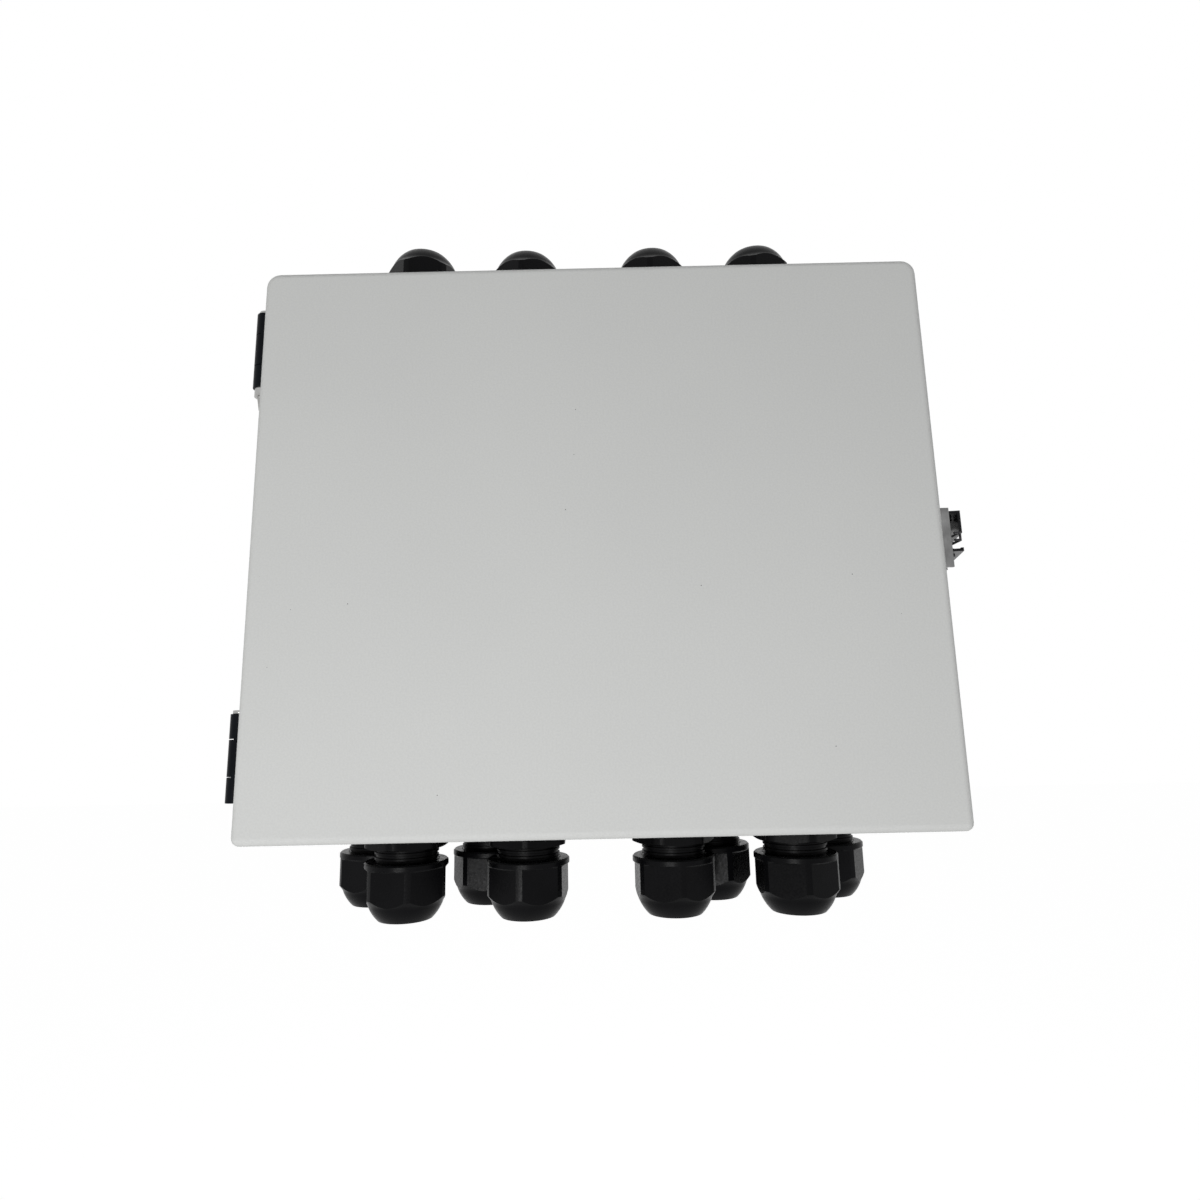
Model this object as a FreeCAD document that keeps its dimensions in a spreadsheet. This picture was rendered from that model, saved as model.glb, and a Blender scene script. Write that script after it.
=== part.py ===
import FreeCAD, Part
import math
import os
import Sketcher
from FreeCAD import Placement, Rotation, Vector

# Wall-mounted steel DC combiner box, in millimetres.
# The origin is the middle of the back face, where the box meets the wall.
# +X is to the right, +Y goes into the wall and +Z is up, so the door faces -Y.

os.makedirs("parts", exist_ok=True)
doc = FreeCAD.newDocument("dc_combiner_box")

# ---------------------------------------------------------------- driving sizes

SIZES = [
    # Enclosure
    ("lid_width", 290, "door across its side flanges"),
    ("lid_height", 246, "door across its top and bottom flanges"),
    ("box_depth", 110, "from the wall to the door's front face"),
    ("sheet", 1.5, "steel of the tub and the door"),
    ("lid_flange", 15, "depth of the door's flanges"),
    ("lid_gap", 1.5, "between the door's flange and the tub's wall"),
    ("lid_bend", 3.5, "outer radius along the door's folded edges"),
    ("lid_corner", 6.5, "outer radius of the door's two upper corners"),
    ("lid_corner_low", 3.2, "outer radius of its two lower corners"),
    ("tub_corner", 4, "outer radius of the tub's four long corners"),
    ("tub_bend", 2.5, "outer radius of the tub's back edges"),
    ("rim_width", 14, "inward rim at the tub's front"),
    ("gasket_width", 10, "foam seal in the door"),
    ("gasket_thick", 4, "foam seal, as pressed"),
    ("gasket_gap", 0.3, "between the seal and the tub's rim"),
    ("gasket_inset", 2, "from the tub's side to the seal's outer edge"),
    ("wall_hole_radius", 4, "four holes for the wall fixings"),
    ("wall_holes_wide", 240, "spacing of the wall holes along X"),
    ("wall_holes_high", 204, "spacing of the wall holes along Z"),
    # Hinges
    ("hinge_length", 36, "knuckles end to end"),
    ("hinge_inset", 32.2, "each hinge's middle in from the door's upper or lower edge"),
    ("hinge_rise", 1.5, "both hinges are set this much higher than those insets"),
    ("hinge_offset", 5.15, "hinge axis out from the door's flange"),
    ("knuckle_radius", 4, "outside of the hinge barrels"),
    ("door_knuckle", 15, "length of the middle barrel, on the door leaf"),
    ("knuckle_gap", 0.3, "end play between barrels"),
    ("door_leaf", 2, "thickness of the door leaf"),
    ("door_leaf_height", 22, "door leaf along the hinge"),
    ("door_leaf_back", 3, "door leaf starts this far ahead of the hinge axis"),
    ("body_leaf_start", 1, "body leaf starts this far behind the hinge axis"),
    ("leaf_clearance", 0.5, "between a leaf and the other leaf's barrel"),
    ("body_leaf_reach", 19, "body leaf behind the hinge axis"),
    ("hinge_pin_radius", 2, "hinge pin"),
    ("pin_play", 0.05, "radial running play of every pin and thread"),
    ("pin_head", 1.5, "height of the hinge pin's head"),
    ("pin_tip", 6.3, "tapered end of the upper hinge pin"),
    ("pin_collar", 4, "bright collar of the upper pin below its barrel"),
    ("door_rivet_height", 7.5, "door leaf's rivets above and below its centre"),
    ("body_rivet_height", 13, "body leaf's rivets above and below its centre"),
    ("rivet_radius", 1.6, "shank of every blind rivet"),
    ("rivet_head_radius", 2.6, "head of every blind rivet"),
    ("rivet_head", 0.9, "height of a rivet head and of its set tail"),
    # Latch
    ("latch_pivot_out", 13, "lever pivot out from the tub's side"),
    ("latch_pivot_depth", 20, "lever pivot behind the door's front face"),
    ("lever_width", 18, "lever over its two cheeks"),
    ("lever_sheet", 1.2, "steel of the lever, its base and the keeper"),
    ("lever_front", 9, "lever ahead of its pivot"),
    ("lever_front_out", 3.4, "lever's outer face beyond the pivot, at its front"),
    ("lever_length", 27, "lever's cheeks behind the pivot"),
    ("lever_back_out", 7.2, "lever's outer face beyond the pivot, at its back"),
    ("lever_lip", 4, "finger lip behind the cheeks"),
    ("lever_notch", 6.4, "width of the slot that the claw swings through"),
    ("lever_notch_drop", 4.2, "middle of that slot below the lever's middle"),
    ("lever_notch_back", 15, "end of that slot behind the pivot"),
    ("lever_rest_lift", 7, "degrees that the lever rests off its closed place"),
    ("claw_follow", 1.5, "turn of the claw for each turn of the lever"),
    ("claw_pivot_in", 2.6, "claw pivot inward of the lever pivot, closed"),
    ("claw_pivot_back", 8, "claw pivot behind the lever pivot, closed"),
    ("claw_width", 4, "width of the claw over its two arms"),
    ("claw_window", 2.2, "opening between the claw's two arms"),
    ("claw_drop", 3.4, "claw and keeper below the lever's middle"),
    ("claw_bar", 1, "claw's cross bar at its hook"),
    ("claw_sheet", 1, "thickness of the claw"),
    ("claw_barrel_radius", 2.7, "claw's eye"),
    ("latch_pin_radius", 1.5, "lever and claw pins"),
    ("ear_radius", 2.8, "rounded end of the base's ears"),
    ("ear_gap", 0.4, "between an ear and a cheek"),
    ("base_length", 34, "latch base along the tub's side"),
    ("keeper_depth", 8.2, "keeper's lip behind the door's front face"),
    ("keeper_foot", 6.5, "keeper's foot along the flange"),
    ("keeper_width", 26, "keeper's foot across"),
    ("keeper_lip_width", 26, "keeper's lip across"),
    ("keeper_rivets", 19, "spacing of the keeper's rivets"),
    ("claw_catch", 1.7, "claw's hold on the lip when closed"),
    ("claw_clearance", 0.6, "around the lip when closed"),
    # Mounting plate
    ("plate_width", 250, "mounting plate along X"),
    ("plate_height", 170, "mounting plate along Z"),
    ("plate_thick", 2, "mounting plate"),
    ("plate_gap", 8.5, "between the tub's back and the plate"),
    ("plate_corner", 5, "corner radius of the plate and the guard"),
    ("stud_radius", 3, "M6 studs that carry the plate"),
    ("stud_collar_radius", 6, "shoulder of the plate studs"),
    ("stud_pitch_wide", 234, "plate studs along X"),
    ("stud_pitch_high", 154, "plate studs along Z"),
    ("hole_clearance", 0.3, "radial clearance of bolt holes"),
    # Busbars and fuses
    ("insulator_height", 25, "standoff insulators"),
    ("insulator_radius", 11, "standoff insulators"),
    ("bar_length", 100, "each busbar along X"),
    ("bar_height", 60, "each busbar along Z"),
    ("bar_thick", 5, "busbars and terminal pads"),
    ("bar_centre_x", 60, "middle of each busbar from the box's middle"),
    ("bar_centre_z", 8, "middle of each busbar above the box's middle"),
    ("bar_insulators", 75, "spacing of the two insulators under a busbar"),
    ("string_pitch", 25, "spacing of the four strings"),
    ("string_row", 20, "string terminals below a busbar's middle"),
    ("output_row", 20, "output terminals above a busbar's middle"),
    ("output_pitch", 54, "spacing of the two outputs"),
    ("fuse_pitch", 51, "between a fuse's two bolts"),
    ("fuse_width", 16, "fuse tag"),
    ("fuse_tag", 1.5, "fuse tag thickness"),
    ("fuse_body_length", 28, "fuse body"),
    ("fuse_body_width", 18, "fuse body"),
    ("fuse_body_thick", 12, "fuse body"),
    ("pad_width", 20, "terminal pad along X"),
    ("pad_height", 22, "terminal pad along Z"),
    ("bolt_radius", 4, "M8 terminal bolts"),
    ("bolt_flats", 13, "M8 heads and nuts across flats"),
    ("bolt_head", 5.3, "M8 head height"),
    ("bolt_nut", 6.5, "M8 nut height"),
    ("washer_radius", 8, "M8 washer"),
    ("washer_thick", 1.6, "M8 washer"),
    ("screw_radius", 3, "M6 screws"),
    ("screw_flats", 10, "M6 heads and nuts across flats"),
    ("screw_head", 4, "M6 head height"),
    ("thread_hold", 9, "length of a screw in its insulator"),
    # Touch guard
    ("guard_width", 246, "touch guard along X"),
    ("guard_height", 132, "touch guard along Z"),
    ("guard_centre_z", -6, "middle of the guard"),
    ("guard_thick", 3, "touch guard"),
    ("pillar_length", 49, "guard pillars"),
    ("pillar_flats", 8, "guard pillars across flats"),
    ("pillar_pitch_wide", 234, "guard pillars along X"),
    ("pillar_pitch_high", 100, "guard pillars along Z"),
    ("guard_screw_radius", 2, "M4 screws of the guard"),
    ("guard_screw_head_radius", 3.8, "M4 screw heads"),
    ("guard_screw_head", 2.6, "M4 screw heads"),
    ("guard_screw_hold", 8, "M4 screw in its pillar"),
    # Earthing
    ("earth_stud_height", 66, "earth stud above the box's middle"),
    ("earth_stud_length", 24, "earth stud in front of the plate"),
    ("door_stud_in", 35, "door's earth stud in from its hinged side"),
    ("door_stud_length", 14, "door's earth stud"),
    # Cable glands
    ("gland_front_depth", 47.5, "front row of glands behind the door's front face"),
    ("gland_row_pitch", 32, "between the two rows of bottom glands"),
    ("gland_shift", 1, "middle of every gland row towards the hinges"),
    ("gland_top_inner", 31.7, "inner glands on top from their row's middle"),
    ("gland_top_pitch", 53, "glands along the top row"),
    ("gland_front_inner", 32.4, "inner glands of the front row from its middle"),
    ("gland_front_pitch", 54.3, "glands along the front row"),
    ("gland_back_inner", 53.6, "inner glands of the back row from its middle"),
    ("gland_back_pitch", 55, "glands along the back row"),
    ("gland_flats", 33, "gland nut and collar across flats"),
    ("gland_corner_radius", 18.3, "turned corners of the gland nut"),
    ("gland_thread_radius", 12.4, "thread that passes the box's wall"),
    ("gland_hole_radius", 12.6, "holes in the box for the glands"),
    ("gland_bore_radius", 9.5, "cable way through a gland"),
    ("gland_collar", 8.5, "height of the gland body's collar"),
    ("gland_washer", 2, "sealing washer under the collar"),
    ("gland_washer_radius", 16, "sealing washer"),
    ("gland_neck_radius", 14, "outer thread that takes the nut"),
    ("gland_show_below", 5.5, "neck showing below the box, collar to nut"),
    ("gland_show_above", 1.5, "neck showing above the box, collar to nut"),
    ("gland_neck_grip", 13.5, "neck inside the nut"),
    ("gland_slack", 2.4, "how much further out the loosest nut stands"),
    ("gland_groove", 0.6, "depth of the grooves in the neck"),
    ("gland_edge", 0.6, "chamfer of the glands' turned edges"),
    ("groove_end", 0.05, "slope at the end of each groove"),
    ("gland_tail", 12, "thread inside the box's wall face"),
    ("gland_nut_length", 24.5, "dome nut"),
    ("gland_nut_straight", 15, "dome nut up to the end of its turned corners"),
    ("gland_nut_skirt", 3, "round skirt at the dome nut's open end"),
    ("gland_dome_start", 17.3, "dome nut up to the start of its dome"),
    ("gland_mouth_rim", 12, "radius of the dome nut's flat end"),
    ("gland_mouth_length", 3, "straight bore at the dome nut's mouth"),
    ("gland_thread_depth", 14, "threaded part of the dome nut"),
    ("seal_radius", 12.2, "outside of the rubber seal"),
    ("seal_bore_radius", 9, "cable hole in the rubber seal"),
    ("seal_length", 12.5, "rubber seal"),
    ("locknut_flats", 32, "locknut across flats"),
    ("locknut_height", 5, "locknut"),
]

sizes = doc.addObject("Spreadsheet::Sheet", "sizes")
for row, (alias, value, note) in enumerate(SIZES, start=1):
    sizes.set(f"A{row}", alias)
    sizes.set(f"B{row}", str(value))
    sizes.set(f"C{row}", note)
    sizes.setAlias(f"B{row}", alias)
doc.recompute()

# ------------------------------------------------------ places that follow from them

tub_width = "(sizes.lid_width - 2 * (sizes.sheet + sizes.lid_gap))"
tub_height = "(sizes.lid_height - 2 * (sizes.sheet + sizes.lid_gap))"
tub_depth = "(sizes.box_depth - sizes.sheet - sizes.gasket_thick - sizes.gasket_gap)"
tub_side = f"({tub_width} / 2)"
tub_top = f"({tub_height} / 2)"
door_side = "(sizes.lid_width / 2)"
hinge_x = f"(-{door_side} - sizes.hinge_offset)"
hinge_y = "(sizes.lid_flange - sizes.box_depth)"
latch_x = f"({tub_side} + sizes.latch_pivot_out)"
latch_y = "(sizes.latch_pivot_depth - sizes.box_depth)"
plate_back = "(-sizes.sheet - sizes.plate_gap)"
plate_front = f"({plate_back} - sizes.plate_thick)"
bar_back = f"({plate_front} - sizes.insulator_height)"
bar_front = f"({bar_back} - sizes.bar_thick)"
string_z = "(sizes.bar_centre_z - sizes.string_row)"
output_z = "(sizes.bar_centre_z + sizes.output_row)"
pad_z = f"({string_z} - sizes.fuse_pitch)"
guard_back = f"({plate_front} - sizes.pillar_length)"
guard_front = f"({guard_back} - sizes.guard_thick)"
gland_front_y = "(sizes.gland_front_depth - sizes.box_depth)"
gland_back_y = f"({gland_front_y} + sizes.gland_row_pitch)"
collar_top = "(sizes.gland_washer + sizes.gland_collar)"

# ---------------------------------------------------------------- small helpers

TURNS = {
    "up": Rotation(),
    "down": Rotation(Vector(1, 0, 0), 180),
    "front": Rotation(Vector(1, 0, 0), 90),
    "back": Rotation(Vector(1, 0, 0), -90),
    "right": Rotation(Vector(0, 1, 0), 90),
    "left": Rotation(Vector(0, 1, 0), -90),
}
subparts = []


def subpart(item, label):
    """Names a finished sub-part and puts it on the list of files to write."""
    item.Label = label
    subparts.append(item)
    return item


def place(item, x=0, y=0, z=0, way="up", turn=None):
    """Points the item's own +Z the given way and ties its place to the sheet."""
    rotation = TURNS[way]
    if turn is not None:
        rotation = rotation.multiply(Rotation(Vector(0, 0, 1), turn))
    item.Placement = Placement(Vector(0, 0, 0), rotation)
    for axis, expression in (("x", x), ("y", y), ("z", z)):
        item.setExpression(f"Placement.Base.{axis}", str(expression))
    return item


def primitive(kind, values, x=0, y=0, z=0, way="up", turn=None):
    """A Part primitive whose sizes are expressions of the sheet."""
    item = doc.addObject(f"Part::{kind}", kind.lower())
    for name, expression in values.items():
        item.setExpression(name, str(expression))
    return place(item, x, y, z, way, turn)


def cylinder(radius, height, x=0, y=0, z=0, way="up"):
    return primitive("Cylinder", {"Radius": radius, "Height": height}, x, y, z, way)


def cone(radius, end_radius, height, z=0):
    values = {"Radius1": radius, "Radius2": end_radius, "Height": height}
    return primitive("Cone", values, z=z)


def box(length, width, height, x, y, z):
    """A box given by its size and its lowest corner."""
    return primitive("Box", {"Length": length, "Width": width, "Height": height}, x, y, z)


def hexagon(flats, height, z=0):
    item = doc.addObject("Part::Prism", "hexagon")
    item.Polygon = 6
    item.setExpression("Circumradius", f"({flats}) / sqrt(3)")
    item.setExpression("Height", str(height))
    return place(item, z=z)


def fuse(*items):
    item = doc.addObject("Part::MultiFuse", "fuse")
    item.Shapes = list(items)
    item.Refine = True
    return item


def common(*items):
    item = doc.addObject("Part::MultiCommon", "common")
    item.Shapes = list(items)
    return item


def cut(base, *tools):
    item = doc.addObject("Part::Cut", "cut")
    item.Base = base
    item.Tool = tools[0] if len(tools) == 1 else fuse(*tools)
    return item


def group(label, items):
    """Identical pieces that share one node, each still its own solid."""
    item = doc.addObject("Part::Compound", "group")
    item.Links = list(items)
    return subpart(item, label)


def new_body(name):
    return doc.addObject("PartDesign::Body", name)


def new_sketch(body, role, offset=0):
    """An empty sketch on one of the body's own planes, moved along its normal."""
    sketch = body.newObject("Sketcher::SketchObject", f"{body.Name}_sketch")
    planes = [plane for plane in body.Origin.OriginFeatures if plane.Role == role]
    sketch.AttachmentSupport = [(planes[0], "")]
    sketch.MapMode = "FlatFace"
    sketch.setExpression("AttachmentOffset.Base.z", str(offset))
    return sketch


def tie(sketch, kind, geometry, point, guess, expression):
    """Sets a point's distance from the sketch's origin, or a radius, from the sheet."""
    if kind == "Radius":
        constraint = Sketcher.Constraint(kind, geometry, guess)
    else:
        constraint = Sketcher.Constraint(kind, -1, 1, geometry, point, guess)
    index = sketch.addConstraint(constraint)
    sketch.setExpression(f"Constraints[{index}]", str(expression))


def polygon(sketch, points):
    """A closed outline through points given as pairs of expressions."""
    count = len(points)
    first = sketch.GeometryCount
    guesses = [Vector(number, number * number, 0) for number in range(count)]
    for number in range(count):
        line = Part.LineSegment(guesses[number], guesses[(number + 1) % count])
        sketch.addGeometry(line, False)
    for number in range(count):
        after = first + (number + 1) % count
        sketch.addConstraint(Sketcher.Constraint("Coincident", first + number, 2, after, 1))
    for number, (across, along) in enumerate(points):
        guess = guesses[number]
        tie(sketch, "DistanceX", first + number, 1, guess.x, across)
        tie(sketch, "DistanceY", first + number, 1, guess.y, along)
    return sketch


def circles(sketch, places, radius):
    """Equal circles round points given as pairs of expressions."""
    for number, (across, along) in enumerate(places):
        centre = Vector(10 * number, 5, 0)
        index = sketch.addGeometry(Part.Circle(centre, Vector(0, 0, 1), 1), False)
        tie(sketch, "DistanceX", index, 3, centre.x, across)
        tie(sketch, "DistanceY", index, 3, centre.y, along)
        tie(sketch, "Radius", index, 3, 1, radius)
    return sketch


def rounded_rectangle(sketch, width, height, radius, low_radius=None):
    """A rectangle about the sketch's origin; its lower corners may be tighter."""
    first = sketch.GeometryCount
    across, along, round_off = 50, 40, 5
    corners = [(1, -1, 270), (1, 1, 0), (-1, 1, 90), (-1, -1, 180)]
    centres = [Vector(i * (across - round_off), j * (along - round_off), 0) for i, j, _ in corners]
    for number, (_, _, start) in enumerate(corners):
        circle = Part.Circle(centres[number], Vector(0, 0, 1), round_off)
        arc = Part.ArcOfCircle(circle, math.radians(start), math.radians(start + 90))
        sketch.addGeometry(arc, False)
    for number in range(4):
        begin = sketch.getPoint(first + number, 2)
        end = sketch.getPoint(first + (number + 1) % 4, 1)
        sketch.addGeometry(Part.LineSegment(begin, end), False)
    for number in range(4):
        side = first + 4 + number
        after = first + (number + 1) % 4
        sketch.addConstraint(Sketcher.Constraint("Tangent", first + number, 2, side, 1))
        sketch.addConstraint(Sketcher.Constraint("Tangent", side, 2, after, 1))
        level = "Vertical" if number % 2 == 0 else "Horizontal"
        sketch.addConstraint(Sketcher.Constraint(level, side))
    radii = (low_radius or radius, radius, radius, low_radius or radius)
    for number, corner_radius in enumerate(radii):
        tie(sketch, "Radius", first + number, 3, round_off, corner_radius)
    tie(sketch, "DistanceX", first + 4, 1, across, f"({width}) / 2")
    tie(sketch, "DistanceY", first + 5, 1, along, f"({height}) / 2")
    tie(sketch, "DistanceX", first + 6, 1, -across, f"-({width}) / 2")
    tie(sketch, "DistanceY", first + 7, 1, -along, f"-({height}) / 2")
    return sketch


def pad(body, sketch, length, both_ways=False):
    feature = body.newObject("PartDesign::Pad", f"{body.Name}_pad")
    feature.Profile = sketch
    feature.Midplane = both_ways
    feature.setExpression("Length", str(length))
    doc.recompute()
    return feature


def pocket(body, sketch, length, both_ways=False, ahead=False):
    """Cuts against the sketch's normal, or along it where ahead is set."""
    before = body.Shape.Volume
    feature = body.newObject("PartDesign::Pocket", f"{body.Name}_pocket")
    feature.Profile = sketch
    feature.Midplane = both_ways
    feature.Reversed = ahead
    feature.setExpression("Length", str(length))
    doc.recompute()
    if body.Shape.Volume >= before:
        raise ValueError(f"{feature.Name} cuts nothing")
    return feature


def revolve(body, sketch):
    """Turns a sketch on the XZ plane once round the body's own Z axis."""
    feature = body.newObject("PartDesign::Revolution", f"{body.Name}_revolution")
    feature.Profile = sketch
    feature.ReferenceAxis = (sketch, ["V_Axis"])
    feature.Angle = 360
    doc.recompute()
    return feature


def round_edges(body, radius, chosen):
    """Rounds the edges of the body's last feature that the test picks."""
    base = body.Tip
    names = [f"Edge{n}" for n, edge in enumerate(base.Shape.Edges, start=1) if chosen(edge)]
    feature = body.newObject("PartDesign::Fillet", f"{body.Name}_fillet")
    feature.Base = (base, names)
    feature.setExpression("Radius", str(radius))
    doc.recompute()
    return feature


def lies_at_y(edge, level):
    return all(abs(vertex.Y - level) < 1e-6 for vertex in edge.Vertexes)


def plus_minus(expression):
    return (f"-({expression})", f"({expression})")


# ------------------------------------------------------------- places that repeat


def gland_places():
    """Name, x, y and way of each gland: four on top, eight below in two rows."""
    rows = (
        ("top", gland_front_y, "up"),
        ("front", gland_front_y, "down"),
        ("back", gland_back_y, "down"),
    )
    spots = []
    for side, sign in (("left", "-"), ("right", "")):
        for step, position in enumerate(("inner", "outer")):
            for row, y, way in rows:
                reach = f"(sizes.gland_{row}_inner + {step} * sizes.gland_{row}_pitch)"
                spots.append((f"{row}_{side}_{position}", f"({sign}{reach} - sizes.gland_shift)", y, way))
    return spots


GLANDS = gland_places()
# Each nut was tightened by hand, so no two stand at quite the same angle.
NUT_TURNS = (26, 37, 4, 14, 14, 26, 25, 24, 10, 18, 28, 3)
LOOSEST_NUT = "top_left_outer"
HINGES = (
    ("upper", "(sizes.hinge_rise + sizes.lid_height / 2 - sizes.hinge_inset)"),
    ("lower", "(sizes.hinge_rise - sizes.lid_height / 2 + sizes.hinge_inset)"),
)
BUSBARS = (("positive", "(-sizes.bar_centre_x)"), ("negative", "sizes.bar_centre_x"))


def string_x(bar_x, index):
    """The four strings stand evenly about the middle of their busbar."""
    return f"({bar_x} + ({index} - 1.5) * sizes.string_pitch)"


def rectangle_of(pitch_wide, pitch_high, centre_z="0"):
    """The four corners of a hole pattern as pairs of X and Z."""
    wide = plus_minus(f"{pitch_wide} / 2")
    high = plus_minus(f"{pitch_high} / 2")
    return [(x, f"({centre_z} + {z})") for x in wide for z in high]


wall_holes = rectangle_of("sizes.wall_holes_wide", "sizes.wall_holes_high")
plate_studs = rectangle_of("sizes.stud_pitch_wide", "sizes.stud_pitch_high")
guard_points = rectangle_of(
    "sizes.pillar_pitch_wide", "sizes.pillar_pitch_high", "sizes.guard_centre_z"
)
bar_insulator_points = [
    (f"({bar_x} + {x})", "sizes.bar_centre_z")
    for _, bar_x in BUSBARS
    for x in plus_minus("sizes.bar_insulators / 2")
]
string_insulator_points = [(string_x(BUSBARS[0][1], index), pad_z) for index in range(4)]
insulator_points = bar_insulator_points + string_insulator_points

# Rivets on the two sides of the box: depth behind the door's front and height.
door_rivet_heights = [
    f"({centre} + {z})" for _, centre in HINGES for z in plus_minus("sizes.door_rivet_height")
]
body_rivet_heights = [
    f"({centre} + {z})" for _, centre in HINGES for z in plus_minus("sizes.body_rivet_height")
]
door_rivet_y = f"({hinge_y} - (sizes.lid_flange - sizes.lid_bend) * 0.6)"
body_rivet_y = f"({hinge_y} + sizes.body_leaf_reach * 0.6)"
base_rivets = [
    (f"({latch_y} + sizes.base_length * 0.4)", "0"),
    (f"({latch_y} + sizes.base_length * 0.75)", "4.2"),
    (f"({latch_y} + sizes.base_length * 0.75)", "-4.2"),
]
keeper_y = "(sizes.keeper_depth - sizes.box_depth)"
keeper_rivets = [
    (f"({keeper_y} + sizes.keeper_foot * 0.6)", f"({z} - sizes.claw_drop)")
    for z in plus_minus("sizes.keeper_rivets / 2")
]

# ---------------------------------------------------------------- the enclosure


def make_body_tub():
    """Folded and welded steel tub with an inward rim for the door's seal."""
    body = new_body("body_tub")
    outline = rounded_rectangle(
        new_sketch(body, "XZ_Plane"), tub_width, tub_height, "sizes.tub_corner"
    )
    pad(body, outline, tub_depth)
    round_edges(body, "sizes.tub_bend", lambda edge: lies_at_y(edge, 0))
    cavity = rounded_rectangle(
        new_sketch(body, "XZ_Plane", "sizes.sheet"),
        f"{tub_width} - 2 * sizes.sheet",
        f"{tub_height} - 2 * sizes.sheet",
        "sizes.tub_corner - sizes.sheet",
    )
    pocket(body, cavity, f"{tub_depth} - 2 * sizes.sheet", ahead=True)
    mouth = rounded_rectangle(
        new_sketch(body, "XZ_Plane", f"{tub_depth} - sizes.sheet"),
        f"{tub_width} - 2 * sizes.rim_width",
        f"{tub_height} - 2 * sizes.rim_width",
        "sizes.tub_corner",
    )
    pocket(body, mouth, "sizes.sheet", ahead=True)
    wall = circles(new_sketch(body, "XZ_Plane"), wall_holes, "sizes.wall_hole_radius")
    pocket(body, wall, "sizes.sheet", ahead=True)
    studs = circles(new_sketch(body, "XZ_Plane"), plate_studs, "sizes.stud_radius")
    pocket(body, studs, "sizes.sheet", ahead=True)
    top = [(x, y) for _, x, y, way in GLANDS if way == "up"]
    bottom = [(x, y) for _, x, y, way in GLANDS if way == "down"]
    holes = circles(new_sketch(body, "XY_Plane"), top, "sizes.gland_hole_radius")
    pocket(body, holes, tub_top, ahead=True)
    holes = circles(new_sketch(body, "XY_Plane"), bottom, "sizes.gland_hole_radius")
    pocket(body, holes, tub_top)
    hinge_holes = [(body_rivet_y, z) for z in body_rivet_heights]
    holes = circles(new_sketch(body, "YZ_Plane"), hinge_holes, "sizes.rivet_radius")
    pocket(body, holes, tub_side)
    holes = circles(new_sketch(body, "YZ_Plane"), base_rivets, "sizes.rivet_radius")
    pocket(body, holes, tub_side, ahead=True)
    return subpart(body, "body_tub")


def make_door():
    """Folded steel lid: a flat front with four flanges that reach over the tub."""
    body = new_body("door")
    back_of_flange = "(sizes.box_depth - sizes.lid_flange)"
    outline = rounded_rectangle(
        new_sketch(body, "XZ_Plane", back_of_flange),
        "sizes.lid_width",
        "sizes.lid_height",
        "sizes.lid_corner",
        "sizes.lid_corner_low",
    )
    pad(body, outline, "sizes.lid_flange")
    front = -sizes.box_depth
    round_edges(body, "sizes.lid_bend", lambda edge: lies_at_y(edge, front))
    hollow = rounded_rectangle(
        new_sketch(body, "XZ_Plane", back_of_flange),
        "sizes.lid_width - 2 * sizes.sheet",
        "sizes.lid_height - 2 * sizes.sheet",
        "sizes.lid_corner - sizes.sheet",
        "sizes.lid_corner_low - sizes.sheet",
    )
    pocket(body, hollow, "sizes.lid_flange - sizes.sheet", ahead=True)
    floor = sizes.sheet - sizes.box_depth
    round_edges(body, "sizes.lid_bend - sizes.sheet", lambda edge: lies_at_y(edge, floor))
    hinge_holes = [(door_rivet_y, z) for z in door_rivet_heights]
    holes = circles(new_sketch(body, "YZ_Plane"), hinge_holes, "sizes.rivet_radius")
    pocket(body, holes, door_side)
    holes = circles(new_sketch(body, "YZ_Plane"), keeper_rivets, "sizes.rivet_radius")
    pocket(body, holes, door_side, ahead=True)
    return subpart(body, "door")


def make_door_gasket():
    """Foam seal glued inside the door, facing the tub's rim."""
    body = new_body("door_gasket")
    outer_width = f"({tub_width} - 2 * sizes.gasket_inset)"
    outer_height = f"({tub_height} - 2 * sizes.gasket_inset)"
    back_of_seal = "(sizes.box_depth - sizes.sheet - sizes.gasket_thick)"
    ring = new_sketch(body, "XZ_Plane", back_of_seal)
    rounded_rectangle(ring, outer_width, outer_height, "sizes.tub_corner")
    rounded_rectangle(
        ring,
        f"{outer_width} - 2 * sizes.gasket_width",
        f"{outer_height} - 2 * sizes.gasket_width",
        "sizes.tub_corner / 2",
    )
    pad(body, ring, "sizes.gasket_thick")
    return subpart(body, "door_gasket")


def rivet(reach, grip, x, y, z, way):
    """A set blind rivet: domed head, shank through the sheets and flat tail."""
    head_edge = "(sizes.rivet_head * 0.4)"
    pieces = [
        cylinder("sizes.rivet_head_radius", head_edge),
        cone(
            "sizes.rivet_head_radius",
            "sizes.rivet_head_radius * 0.6",
            f"sizes.rivet_head - {head_edge}",
            z=head_edge,
        ),
        cylinder("sizes.rivet_radius", grip, z=f"-({grip})"),
        cylinder("sizes.rivet_head_radius * 0.85", reach, z=f"-({grip}) - ({reach})"),
    ]
    return place(fuse(*pieces), x, y, z, way)


# ------------------------------------------------------------------- the hinges


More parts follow.
